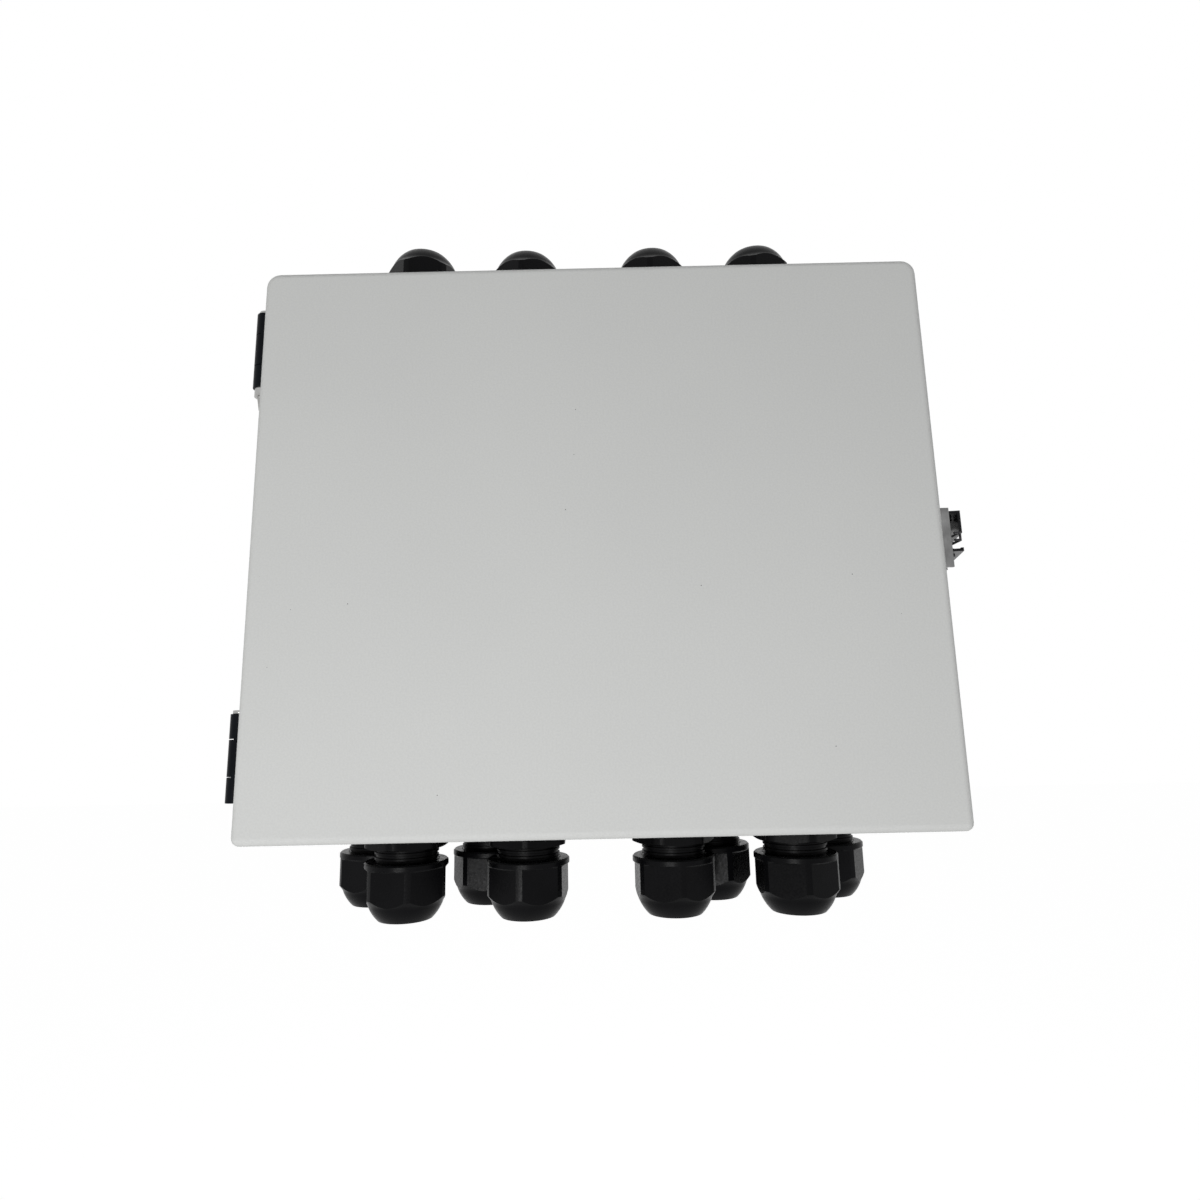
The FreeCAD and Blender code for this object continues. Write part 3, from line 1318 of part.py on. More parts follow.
def make_glands():
    """Twelve glands, each with its own free-turning dome nut."""
    bodies = {"up": [], "down": []}
    seals = []
    locknuts = []
    washers = []
    thread = "sizes.gland_thread_radius"
    for index, (name, x, y, way) in enumerate(GLANDS):
        wall = tub_top if way == "up" else f"(-{tub_top})"
        outward = "+" if way == "up" else "-"
        inward = "-" if way == "up" else "+"
        inward_way = "down" if way == "up" else "up"
        slack = "sizes.gland_slack" if name == LOOSEST_NUT else "0"
        nut_z = f"{wall} {outward} ({nut_start(way)} + {slack})"
        seal_start = f"({nut_start(way)} + sizes.gland_neck_grip - sizes.seal_length)"
        seal_z = f"{wall} {outward} {seal_start}"
        lock_z = f"{wall} {inward} sizes.sheet"
        bodies[way].append(gland_body(x, y, wall, way))
        dome_nut(f"gland_nut_{name}", x, y, nut_z, way, NUT_TURNS[index])
        seals.append(
            ring("sizes.seal_radius", "sizes.seal_bore_radius", "sizes.seal_length", x, y, seal_z, way)
        )
        locknuts.append(
            hex_nut("sizes.locknut_flats", thread, "sizes.locknut_height", x, y, lock_z, inward_way)
        )
        washers.append(
            ring("sizes.gland_washer_radius", thread, "sizes.gland_washer", x, y, wall, way)
        )
    group("gland_bodies_top", bodies["up"])
    group("gland_bodies_bottom", bodies["down"])
    group("gland_seals", seals)
    group("gland_locknuts", locknuts)
    group("gland_washers", washers)


# ------------------------------------------------------------ build and write out

make_body_tub()
make_door()
make_door_gasket()
for hinge_name, hinge_z in HINGES:
    make_hinge(hinge_name, hinge_z)
make_hinge_rivets()
make_latch_base()
rest_lever(make_latch_lever(), "latch_lever")
rest_lever(make_claw_pin(), "latch_claw_pin")
make_latch_claw()
make_latch_keeper()
make_mounting_plate()
make_plate_fixings()
make_insulators()
for bar_name, bar_middle in BUSBARS:
    make_busbar(bar_name, bar_middle)
make_string_parts()
make_terminals()
make_touch_guard()
make_earth_studs()
make_glands()

doc.recompute()
for item in doc.Objects:
    if "Invalid" in item.State or "Error" in item.State:
        raise ValueError(f"{item.Label} failed: {item.State}")
for item in subparts:
    if item.Shape.isNull() or not item.Shape.isValid():
        raise ValueError(f"{item.Label} has no valid shape")
for item in subparts:
    item.Shape.exportStep(f"parts/{item.Label}.step")
print(len(subparts), "sub-parts written")
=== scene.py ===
import bmesh
import bpy
import math
from mathutils import Euler, Matrix, Quaternion, Vector


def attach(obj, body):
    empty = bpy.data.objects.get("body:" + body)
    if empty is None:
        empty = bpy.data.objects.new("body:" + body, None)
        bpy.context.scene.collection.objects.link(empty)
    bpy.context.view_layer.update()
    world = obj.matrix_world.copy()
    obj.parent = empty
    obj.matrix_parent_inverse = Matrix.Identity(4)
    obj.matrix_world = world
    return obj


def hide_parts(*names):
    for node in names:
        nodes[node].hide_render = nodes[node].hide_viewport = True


# A DC combiner box for a solar roof: a folded steel wall box with a hinged lid,
# twelve nylon cable glands and fused copper busbars inside. Metres; +X is to the
# right, +Y goes into the wall and +Z is up. The lid's front faces -Y.

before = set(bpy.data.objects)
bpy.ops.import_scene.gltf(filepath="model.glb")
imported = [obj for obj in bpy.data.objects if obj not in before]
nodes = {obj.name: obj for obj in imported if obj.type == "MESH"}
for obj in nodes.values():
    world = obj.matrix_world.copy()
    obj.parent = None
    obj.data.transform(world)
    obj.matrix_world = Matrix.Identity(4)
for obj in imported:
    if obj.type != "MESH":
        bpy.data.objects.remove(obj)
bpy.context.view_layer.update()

# ------------------------------------------------------------------ studio
# A pale floor far below the box, since it hangs on a wall, and an even white room.
# A large soft lamp in front and below, two small ones beside it, and the camera.

MM = 0.001
WHITE = (1, 1, 1, 1)
ROOM_LIGHT, FLOOR_LIFT = 0.38, 0.64
FLOOR_Z, FLOOR_REACH = -1.1, 12


def fill(tree, socket, value):
    """Feeds a socket from another socket, or gives it a fixed value."""
    if isinstance(value, bpy.types.NodeSocket):
        tree.links.new(value, socket)
    else:
        socket.default_value = value


def node_of(tree, kind, *feeds, **settings):
    """Adds a node: feeds go to its first inputs, settings to what they name."""
    item = tree.nodes.new(kind)
    for name, value in settings.items():
        if hasattr(item, name):
            setattr(item, name, value)
        else:
            fill(tree, item.inputs[name.replace("_", " ")], value)
    for index, value in enumerate(feeds):
        fill(tree, item.inputs[index], value)
    return item


def direct_rays(tree):
    """What a tree knows of its rays, and 1 for those of the camera and of mirrors."""
    rays = node_of(tree, "ShaderNodeLightPath").outputs
    direct = node_of(
        tree, "ShaderNodeMath", rays["Is Camera Ray"], rays["Is Glossy Ray"], operation="MAXIMUM"
    )
    return rays, direct.outputs[0]


room = bpy.data.worlds.new("room")
bpy.context.scene.world = room
room.use_nodes = True
air = room.node_tree
air.nodes.clear()
rays, direct = direct_rays(air)
shown_white = node_of(
    air, "ShaderNodeMath", direct, rays["Is Transmission Ray"], operation="MAXIMUM"
)
lit = node_of(air, "ShaderNodeBackground", Color=WHITE, Strength=ROOM_LIGHT)
white = node_of(air, "ShaderNodeBackground", Color=WHITE, Strength=1.0)
room_mix = node_of(
    air, "ShaderNodeMixShader", shown_white.outputs[0], lit.outputs[0], white.outputs[0]
)
node_of(air, "ShaderNodeOutputWorld", room_mix.outputs[0])

floor_mesh = bpy.data.meshes.new("floor")
floor_mesh.from_pydata(
    [(i * FLOOR_REACH, j * FLOOR_REACH, FLOOR_Z) for i, j in ((-1, -1), (1, -1), (1, 1), (-1, 1))],
    [],
    [(0, 1, 2, 3)],
)
floor = bpy.data.objects.new("floor", floor_mesh)
bpy.context.scene.collection.objects.link(floor)
pale = bpy.data.materials.new("pale_floor")
pale.use_nodes = True
ground = pale.node_tree
ground.nodes.clear()
_, direct = direct_rays(ground)
lift = node_of(ground, "ShaderNodeMath", direct, FLOOR_LIFT, operation="MULTIPLY")
matt = node_of(ground, "ShaderNodeBsdfDiffuse", Color=(0.93, 0.93, 0.93, 1))
glow = node_of(ground, "ShaderNodeEmission", Strength=lift.outputs[0])
both = node_of(ground, "ShaderNodeAddShader", matt.outputs[0], glow.outputs[0])
# Seen from underneath, the floor lets the view through.
floor_side = node_of(
    ground,
    "ShaderNodeMixShader",
    node_of(ground, "ShaderNodeNewGeometry").outputs["Backfacing"],
    both.outputs[0],
    node_of(ground, "ShaderNodeBsdfTransparent").outputs[0],
)
node_of(ground, "ShaderNodeOutputMaterial", floor_side.outputs[0])
floor_mesh.materials.append(pale)


def soft_lamp(name, place, aim, size, power):
    """A square softbox at a place, facing a point."""
    lamp = bpy.data.lights.new(name, "AREA")
    lamp.size = size
    lamp.energy = power
    holder = bpy.data.objects.new(name, lamp)
    holder.location = place
    holder.rotation_euler = (Vector(aim) - Vector(place)).to_track_quat("-Z", "Y").to_euler()
    bpy.context.scene.collection.objects.link(holder)


soft_lamp("front_softbox", (-0.20, -0.92, -0.46), (0, -0.11, 0), 0.35, 6.5)
soft_lamp("left_spark", (-0.50, -0.60, -0.60), (0, -0.11, -0.13), 0.05, 0.10)
soft_lamp("right_spark", (0.45, -0.60, -0.60), (0, -0.11, -0.13), 0.05, 0.10)

camera_data = bpy.data.cameras.new("camera")
camera_data.sensor_width = 36
camera_data.lens = 21.906
camera_data.clip_start = 0.02
camera_data.clip_end = 60
camera = bpy.data.objects.new("camera", camera_data)
camera.location = (1.48 * MM, -403.70 * MM, -81.78 * MM)
CAMERA_PITCH, CAMERA_YAW, CAMERA_ROLL = 0.1784, 0.0013, -0.0216
camera.rotation_mode = "QUATERNION"
camera.rotation_quaternion = (
    Euler((math.pi / 2 + CAMERA_PITCH, 0, CAMERA_YAW)).to_quaternion()
    @ Quaternion((0, 0, 1), CAMERA_ROLL)
)
bpy.context.scene.collection.objects.link(camera)
bpy.context.scene.camera = camera
bpy.context.scene.view_settings.view_transform = "Standard"

# ------------------------------------------------------------------ body tub
# The enclosure is folded from thin steel sheet, its corner seams welded and
# ground flush, and powder coated pale grey with a fine even grain. Four holes
# in its back take the wall screws.

SHEET_EDGE = 0.3 * MM
EASED_ABOVE, CREASED_ABOVE = 34, 38


def joined(node):
    """A node's triangles where they stand, joined at their corners."""
    bm = bmesh.new()
    bm.from_mesh(nodes[node].data)
    bm.transform(nodes[node].matrix_world)
    bmesh.ops.remove_doubles(bm, verts=bm.verts, dist=1e-6)
    return bm


def crease(bm, sharp):
    """Makes a mesh smooth, with creases kept where it folds by so many degrees."""
    for face in bm.faces:
        face.smooth = True
    for edge in bm.edges:
        edge.smooth = len(edge.link_faces) != 2 or edge.calc_face_angle() < math.radians(sharp)


def piece_from(bm, name, material, sharp=CREASED_ABOVE):
    """Turns a bmesh into an object with one finish."""
    bmesh.ops.recalc_face_normals(bm, faces=bm.faces)
    crease(bm, sharp)
    mesh = bpy.data.meshes.new(name)
    bm.to_mesh(mesh)
    bm.free()
    mesh.materials.append(material)
    piece = bpy.data.objects.new(name, mesh)
    bpy.context.scene.collection.objects.link(piece)
    return piece


def applied(piece):
    """Makes an object's modifiers permanent as a plain mesh."""
    made = bpy.data.meshes.new_from_object(
        piece.evaluated_get(bpy.context.evaluated_depsgraph_get())
    )
    made.name = piece.name
    piece.modifiers.clear()
    piece.data = made
    return piece


def put_on(piece, body, node):
    """Puts a piece on what it rides on, and hides the node it stands for."""
    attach(piece, body)
    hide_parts(node)


def dressed(node, name, material, width, body="enclosure", steps=2):
    """A node's shape with every cut edge slightly broken, as a real part has."""
    bm = joined(node)
    bmesh.ops.dissolve_limit(bm, angle_limit=math.radians(0.6), verts=bm.verts, edges=bm.edges)
    piece = piece_from(bm, name, material)
    easing = piece.modifiers.new("easing", "BEVEL")
    easing.width = width
    easing.segments = steps
    easing.limit_method = "ANGLE"
    easing.angle_limit = math.radians(EASED_ABOVE)
    easing.use_clamp_overlap = True
    bpy.context.view_layer.update()
    applied(piece)
    bm = bmesh.new()
    bm.from_mesh(piece.data)
    crease(bm, CREASED_ABOVE)
    bm.to_mesh(piece.data)
    bm.free()
    # Broad flat faces stay flat where they run into a fold.
    evened = piece.modifiers.new("evened", "WEIGHTED_NORMAL")
    evened.weight = 80
    evened.keep_sharp = True
    put_on(applied(piece), body, node)


def new_tree(kind, name, inputs, outputs):
    """A node group with named sockets: the tree, what it is given, and its end."""
    tree = bpy.data.node_groups.new(name, kind)
    for way, sockets in (("INPUT", inputs), ("OUTPUT", outputs)):
        for label, of_kind, *value in sockets:
            socket = tree.interface.new_socket(
                label, in_out=way, socket_type=f"NodeSocket{of_kind}"
            )
            if value:
                socket.default_value = value[0]
    return tree, node_of(tree, "NodeGroupInput").outputs, node_of(tree, "NodeGroupOutput")


def spread(tree, source, low, high, to_low, to_high):
    """Maps a socket's values from one range to another, clamped."""
    ranged = node_of(
        tree,
        "ShaderNodeMapRange",
        source,
        From_Min=low,
        From_Max=high,
        To_Min=to_low,
        To_Max=to_high,
    )
    return ranged.outputs["Result"]


def blended(tree, amount, first, second):
    """A colour between two sockets or fixed colours."""
    mix = node_of(tree, "ShaderNodeMix", amount, data_type="RGBA")
    fill(tree, mix.inputs[6], first)
    fill(tree, mix.inputs[7], second)
    return mix.outputs[2]


# Every finish is a broad drift of colour with a fine grain of relief on top.
# The grain can be stretched, which makes the lay of a brushed or drawn metal.
surface, given, result = new_tree(
    "ShaderNodeTree",
    "worked surface",
    [
        ("Colour", "Color", (0.5, 0.5, 0.5, 1)),
        ("Drift Colour", "Color", (0.4, 0.4, 0.4, 1)),
        ("Drift Scale", "Float", 12.0),
        ("Grain Scale", "Float", 900.0),
        ("Grain Stretch", "Vector", (1, 1, 1)),
        ("Grain Shade", "Float", 0.1),
        ("Smoothest", "Float", 0.4),
        ("Roughest", "Float", 0.6),
    ],
    [("Colour", "Color"), ("Roughness", "Float"), ("Height", "Float")],
)
where = node_of(surface, "ShaderNodeTexCoord").outputs["Object"]
drift = node_of(surface, "ShaderNodeTexNoise", where, Scale=given["Drift Scale"], Detail=3)
stretched = node_of(
    surface, "ShaderNodeVectorMath", where, given["Grain Stretch"], operation="MULTIPLY"
)
noise = node_of(
    surface, "ShaderNodeTexNoise", stretched.outputs[0], Scale=given["Grain Scale"], Detail=2
)
grain = noise.outputs[0]
drifted = blended(
    surface,
    spread(surface, drift.outputs[0], 0.35, 0.65, 0.0, 1.0),
    given["Colour"],
    given["Drift Colour"],
)
shade = spread(surface, grain, 0.35, 0.65, 0.0, given["Grain Shade"])
rough = spread(surface, grain, 0.3, 0.7, given["Smoothest"], given["Roughest"])
fill(surface, result.inputs["Colour"], blended(surface, shade, drifted, (0, 0, 0, 1)))
fill(surface, result.inputs["Roughness"], rough)
fill(surface, result.inputs["Height"], grain)

# Tiny dark specks of dust caught in a coat while it was still wet.
specks, given, result = new_tree(
    "ShaderNodeTree",
    "caught specks",
    [
        ("Colour", "Color", (0.5, 0.5, 0.5, 1)),
        ("Speck Colour", "Color", (0.05, 0.05, 0.05, 1)),
        ("Speck Scale", "Float", 60.0),
        ("Speck Size", "Float", 0.035),
    ],
    [("Colour", "Color")],
)
where = node_of(specks, "ShaderNodeTexCoord").outputs["Object"]
cell = node_of(specks, "ShaderNodeTexVoronoi", where, Scale=given["Speck Scale"])
small = node_of(
    specks, "ShaderNodeMath", cell.outputs["Distance"], given["Speck Size"], operation="LESS_THAN"
)
dotted = blended(specks, small.outputs[0], given["Colour"], given["Speck Colour"])
fill(specks, result.inputs["Colour"], dotted)


def rgb(red, green, blue):
    return (red, green, blue, 1.0)


def finish(
    name,
    colour,
    drift_colour,
    roughness,
    drift_scale=14.0,
    grain_scale=900.0,
    stretch=(1, 1, 1),
    grain_shade=0.08,
    relief=0.05,
    metallic=0.0,
    specular=0.5,
    speck_size=0.0,
):
    """A procedural material: drifting colour, grained roughness and fine relief."""
    material = bpy.data.materials.new(name)
    material.use_nodes = True
    tree = material.node_tree
    shader = tree.nodes["Principled BSDF"]
    worked = node_of(
        tree,
        "ShaderNodeGroup",
        node_tree=surface,
        Colour=colour,
        Drift_Colour=drift_colour,
        Drift_Scale=drift_scale,
        Grain_Scale=grain_scale,
        Grain_Stretch=stretch,
        Grain_Shade=grain_shade,
        Smoothest=roughness[0],
        Roughest=roughness[1],
    ).outputs
    shown = worked["Colour"]
    if speck_size:
        caught = node_of(
            tree, "ShaderNodeGroup", node_tree=specks, Colour=shown, Speck_Size=speck_size
        )
        shown = caught.outputs["Colour"]
    bump = node_of(
        tree, "ShaderNodeBump", Strength=0.35, Distance=relief * MM, Height=worked["Height"]
    )
    for label, value in (
        ("Metallic", metallic),
        ("Specular IOR Level", specular),
        ("Base Color", shown),
        ("Roughness", worked["Roughness"]),
        ("Normal", bump.outputs["Normal"]),
    ):
        fill(tree, shader.inputs[label], value)
    return material


# The tub's copy of the coat is a shade darker than the lid's: painted shade on one copy of the
# same coat.
tub_paint = finish(
    "tub_paint",
    rgb(0.535, 0.540, 0.530),
    rgb(0.522, 0.527, 0.518),
    (0.58, 0.74),
    grain_scale=1300,
    grain_shade=0.05,
    relief=0.05,
    specular=0.25,
    speck_size=0.012,
)
dressed("body_tub", "tub", tub_paint, SHEET_EDGE)

# ------------------------------------------------------------------ lid
# The lid is one folded steel tray with welded corners, hung on the left side.
# It has the same powder coat as the tub, with a few specks caught in it; the tub's copy is darker
# only by painted shade.

lid_paint = finish(
    "lid_paint",
    rgb(0.560, 0.566, 0.556),
    rgb(0.548, 0.554, 0.545),
    (0.58, 0.74),
    drift_scale=9,
    grain_scale=1300,
    grain_shade=0.05,
    relief=0.05,
    specular=0.25,
    speck_size=0.012,
)
dressed("door", "lid", lid_paint, SHEET_EDGE, "door")

# ------------------------------------------------------------------ lid seal
# A frame of closed-cell foam poured into the lid, black and slightly shiny on
# its skin, which the tub's rim presses into.

seal_foam = finish(
    "seal_foam",
    rgb(0.022, 0.022, 0.024),
    rgb(0.034, 0.034, 0.036),
    (0.55, 0.85),
    drift_scale=70,
    grain_scale=1600,
    grain_shade=0.4,
    relief=0.3,
    specular=0.3,
)
dressed("door_gasket", "lid_seal", seal_foam, 1.2 * MM, "door", steps=4)

# ------------------------------------------------------------------ hinges
# Two cast zinc hinges in black enamel, riveted to the lid's flange and to the
# tub. The lid's leaf carries the middle barrel; a bright steel pin runs through.

HINGE_EDGE = 0.12 * MM
hinge_black = finish(
    "hinge_black",
    rgb(0.0028, 0.0036, 0.0050),
    rgb(0.0050, 0.0062, 0.0085),
    (0.24, 0.42),
    drift_scale=90,
    grain_scale=1500,
    grain_shade=0.2,
    relief=0.06,
    specular=0.05,
)
pin_steel = finish(
    "pin_steel",
    rgb(0.46, 0.46, 0.45),
    rgb(0.34, 0.34, 0.33),
    (0.22, 0.40),
    drift_scale=160,
    grain_scale=500,
    stretch=(1, 1, 9),
    metallic=1.0,
    relief=0.03,
)
for side in ("upper", "lower"):
    dressed(f"hinge_{side}_body_leaf", f"{side}_body_leaf", hinge_black, HINGE_EDGE)
    dressed(f"hinge_{side}_door_leaf", f"{side}_door_leaf", hinge_black, HINGE_EDGE, "door")
    dressed(
        f"hinge_{side}_pin", f"{side}_hinge_pin", pin_steel, 0.2 * MM
    )

# ------------------------------------------------------------------ hinge rivets
# Set blind rivets of zinc plated steel hold the hinge leaves. Each has a low
# domed head with the pit that its snapped mandrel leaves, and a flat tail inside.

FRONT = (math.pi / 2, 0, 0)
BACK = (-math.pi / 2, 0, 0)
LEFT = (0, -math.pi / 2, 0)
RIGHT = (0, math.pi / 2, 0)
UP = (0, 0, 0)
DOWN = (math.pi, 0, 0)
RIVET_HEAD, RIVET_RADIUS, RIVET_SHANK = 0.9, 2.6, 1.6

rivet_steel = finish(
    "rivet_steel",
    rgb(0.50, 0.50, 0.50),
    rgb(0.38, 0.38, 0.38),
    (0.28, 0.5),
    drift_scale=240,
    grain_scale=1200,
    metallic=1.0,
    grain_shade=0.2,
)


def evenly(count):
    """Angles once round, for a turned piece."""
    return [2 * math.pi * step / count for step in range(count)]


def turned(rows, angles, closed=False):
    """A skin over rings; a row is a radius and a height, or gives them at an angle."""
    bm = bmesh.new()
    rings = []
    for row in rows:
        ring = []
        for angle in angles:
            radius, height = row(angle) if callable(row) else row
            ring.append(
                bm.verts.new(
                    (radius * MM * math.cos(angle), radius * MM * math.sin(angle), height * MM)
                )
            )
        rings.append(ring)
    following = rings[1:] + ([rings[0]] if closed else [])
    for ring, after in zip(rings, following):
        for index in range(len(angles)):
            beside = (index + 1) % len(angles)
            bm.faces.new((ring[index], ring[beside], after[beside], after[index]))
    bmesh.ops.remove_doubles(bm, verts=bm.verts, dist=2e-7)
    return bm


def solids_of(node):
    """The lowest and highest corner of each separate solid of a node."""
    bm = joined(node)
    left = set(bm.verts)
    found = []
    while left:
        reached = [left.pop()]
        corners = []
        while reached:
            vertex = reached.pop()
            corners.append(vertex.co.copy())
            for edge in vertex.link_edges:
                other = edge.other_vert(vertex)
                if other in left:
                    left.remove(other)
                    reached.append(other)
        low = Vector([min(corner[axis] for corner in corners) for axis in range(3)])
        high = Vector([max(corner[axis] for corner in corners) for axis in range(3)])
        found.append((low, high))
    bm.free()
    return sorted(found, key=lambda pair: (round(pair[0].x, 4), round(pair[0].z, 4)))


# Puts a piece at every point, each turned its own way, plus a little by chance
# about its own axis, and gives them all one finish.
copying, given, result = new_tree(
    "GeometryNodeTree",
    "copies at places",
    [
        ("Places", "Geometry"),
        ("Piece", "Object"),
        ("Loose Turn", "Float"),
        ("Seed", "Int"),
        ("Finish", "Material"),
    ],
    [("Copies", "Geometry")],
)
original = node_of(
    copying, "GeometryNodeObjectInfo", given["Piece"], transform_space="ORIGINAL"
)
faced = node_of(
    copying, "GeometryNodeInputNamedAttribute", data_type="FLOAT_VECTOR", Name="facing"
)
spun = node_of(copying, "FunctionNodeEulerToRotation", faced.outputs["Attribute"])
set_out = node_of(
    copying,
    "GeometryNodeInstanceOnPoints",
    given["Places"],
    Instance=original.outputs["Geometry"],
    Rotation=spun.outputs[0],
)
other_way = node_of(copying, "ShaderNodeMath", given["Loose Turn"], -1, operation="MULTIPLY")
chance = node_of(copying, "FunctionNodeRandomValue", data_type="FLOAT")
by_kind = {socket.identifier: socket for socket in (*chance.inputs, *chance.outputs)}
fill(copying, by_kind["Min_001"], other_way.outputs[0])
fill(copying, by_kind["Max_001"], given["Loose Turn"])
fill(copying, by_kind["Seed"], given["Seed"])
about = node_of(copying, "ShaderNodeCombineXYZ", Z=by_kind["Value_001"])
as_turn = node_of(copying, "FunctionNodeEulerToRotation", about.outputs[0])
turned_on = node_of(
    copying, "GeometryNodeRotateInstances", set_out.outputs[0], Rotation=as_turn.outputs[0]
)


def coat(tree, geometry, given, result):
    """Ends a tree: its geometry is made real and given its finish."""
    made_real = node_of(tree, "GeometryNodeRealizeInstances", geometry)
    coated = node_of(
        tree, "GeometryNodeSetMaterial", made_real.outputs[0], Material=given["Finish"]
    )
    fill(tree, result.inputs[0], coated.outputs[0])


coat(copying, turned_on.outputs[0], given, result)


def with_inputs(piece, tree, values):
    """A Geometry Nodes modifier whose inputs are set by their sockets' identifiers."""
    modifier = piece.modifiers.new("nodes", "NODES")
    modifier.node_group = tree
    for socket in tree.interface.items_tree:
        if socket.in_out == "INPUT" and socket.name in values:
            modifier[socket.identifier] = values[socket.name]
    bpy.context.view_layer.update()
    return applied(piece)


def copies(name, pattern, places, material, turn, seed):
    """One plain mesh of a pattern piece copied to places and facings."""
    points = bpy.data.meshes.new(name)
    points.from_pydata([place for place, _ in places], [], [])
    facing = points.attributes.new("facing", "FLOAT_VECTOR", "POINT")
    for index, (_, way) in enumerate(places):
        facing.data[index].vector = way
    piece = bpy.data.objects.new(name, points)
    bpy.context.scene.collection.objects.link(piece)
    values = {"Piece": pattern, "Loose Turn": turn, "Seed": seed, "Finish": material}
    return with_inputs(piece, copying, values)


def stamped(
    node,
    name,
    bm,
    places,
    material,
    body="enclosure",
    turn=0.0,
    seed=1,
    sharp=CREASED_ABOVE,
):
    """Copies of one shape as one plain mesh, put on what they ride."""
    pattern = piece_from(bm, "pattern", material, sharp)
    piece = copies(name, pattern, places, material, turn, seed)
    bpy.data.objects.remove(pattern)
    put_on(piece, body, node)


def set_rivet(grip):
    """A blind rivet along +Z, its head on Z 0 and its shank below."""
    return turned(
        [
            (0, 0.35),
            (0.55, 0.35),
            (0.62, 0.75),
            (0.8, RIVET_HEAD),
            (1.3, 0.86),
            (1.9, 0.68),
            (2.35, 0.42),
            (RIVET_RADIUS, 0.16),
            (RIVET_RADIUS, 0),
            (RIVET_SHANK, 0),
            (RIVET_SHANK, -grip),
            (2.2, -grip),
            (2.2, -grip - 0.5),
            (1.8, -grip - RIVET_HEAD),
            (0, -grip - RIVET_HEAD),
        ],
        evenly(28),
    )


def rivets(node, axis, way, body):
    """Rivets at a node's solids, their heads at the end that the way points to."""
    for number, (low, high) in enumerate(solids_of(node)):
        middle = (low + high) / 2
        length = (high[axis] - low[axis]) / MM
        outward = way[1] > 0
        middle[axis] = high[axis] - RIVET_HEAD * MM if outward else low[axis] + RIVET_HEAD * MM
        shape = set_rivet(length - 2 * RIVET_HEAD)
        stamped(node, f"{node}_{number}", shape, [(middle, way)], rivet_steel, body)


rivets("hinge_body_rivets", 0, LEFT, "enclosure")
rivets("hinge_door_rivets", 0, LEFT, "door")

# ------------------------------------------------------------------ latch
# An over-centre latch of folded steel. Its lever is stove enamelled black, the
# claw and the pins are black zinc, the base and the keeper dull nickel plate.

LATCH_EDGE = 0.25 * MM
latch_black = finish(
    "latch_black",
    rgb(0.0035, 0.0036, 0.0045),
    rgb(0.0065, 0.0066, 0.0080),
    (0.16, 0.30),
    drift_scale=110,
    grain_scale=900,
    grain_shade=0.15,
    relief=0.02,
    specular=0.12,
)
latch_steel = finish(
    "latch_steel",
    rgb(0.25, 0.25, 0.25),
    rgb(0.17, 0.17, 0.17),
    (0.30, 0.46),
    drift_scale=130,
    grain_scale=420,
    stretch=(6, 1, 1),
    metallic=1.0,
    relief=0.03,
)
claw_steel = finish(
    "claw_steel",
    rgb(0.050, 0.050, 0.053),
    rgb(0.028, 0.028, 0.031),
    (0.28, 0.44),
    drift_scale=150,
    grain_scale=500,
    stretch=(6, 1, 1),
    metallic=1.0,
    relief=0.03,
)
dressed("latch_lever", "lever", latch_black, LATCH_EDGE, "latch_lever")
dressed("latch_claw", "claw", claw_steel, LATCH_EDGE, "latch_claw")
dressed("latch_claw_pin", "claw_pin", claw_steel, LATCH_EDGE, "latch_lever")
dressed("latch_base", "base_plate", latch_steel, LATCH_EDGE)
dressed("latch_pivot_rivets", "pivot_rivets", claw_steel, LATCH_EDGE)
dressed("latch_keeper", "keeper", latch_steel, LATCH_EDGE, "door")
rivets("latch_base_rivets", 0, RIGHT, "enclosure")
rivets("latch_keeper_rivets", 0, RIGHT, "door")

# ------------------------------------------------------------------ mounting plate
# A sheet of zinc plated steel on four studs welded to the back of the tub.

zinc_plate = finish(
    "zinc_plate",
    rgb(0.42, 0.43, 0.44),
    rgb(0.33, 0.345, 0.36),
    (0.34, 0.54),
    drift_scale=38,
    grain_scale=600,
    stretch=(0.12, 1, 1),
    metallic=1.0,
    grain_shade=0.15,
    relief=0.02,
)
dressed("mounting_plate", "plate", zinc_plate, SHEET_EDGE)

# ------------------------------------------------------------------ studs
# Steel studs with a shoulder for the plate and a rolled thread at their end, and
# the door's small earth stud with its nut.

M6_RADIUS, M6_FLATS, M6_HEAD, M6_NUT, M6_PITCH = 3.0, 10.0, 4.0, 5.1, 1.0
THREAD_DEPTH, END_FACE, CHAMFER_SLOPE = 0.42, 0.475, math.tan(math.radians(28))
stud_steel = finish(
    "stud_steel",
    rgb(0.46, 0.46, 0.46),
    rgb(0.36, 0.36, 0.35),
    (0.3, 0.5),
    drift_scale=200,
    metallic=1.0,
    grain_shade=0.2,
)
nut_steel = finish(
    "nut_steel",
    rgb(0.46, 0.46, 0.44),
    rgb(0.37, 0.37, 0.35),
    (0.26, 0.44),
    drift_scale=180,
    metallic=1.0,
    grain_shade=0.15,
)

# A thread is one sharp ridge that winds along a shank; its ends are capped.
winding, given, result = new_tree(
    "GeometryNodeTree",
    "wound thread",
    [
        ("Start", "Geometry"),
        ("Radius", "Float"),
        ("Length", "Float"),
        ("Turns", "Float"),
        ("Ridge", "Float"),
        ("Finish", "Material"),
    ],
    [("Thread", "Geometry")],
)
helix = node_of(
    winding,
    "GeometryNodeCurveSpiral",
    Resolution=20,
    Rotations=given["Turns"],
    Start_Radius=given["Radius"],
    End_Radius=given["Radius"],
    Height=given["Length"],
)
ridge = node_of(
    winding,
    "GeometryNodeCurvePrimitiveCircle",
    mode="RADIUS",
    Resolution=4,
    Radius=given["Ridge"],
)
wound = node_of(
    winding, "GeometryNodeCurveToMesh", helix.outputs[0], ridge.outputs[0], Fill_Caps=True
)
coat(winding, wound.outputs[0], given, result)


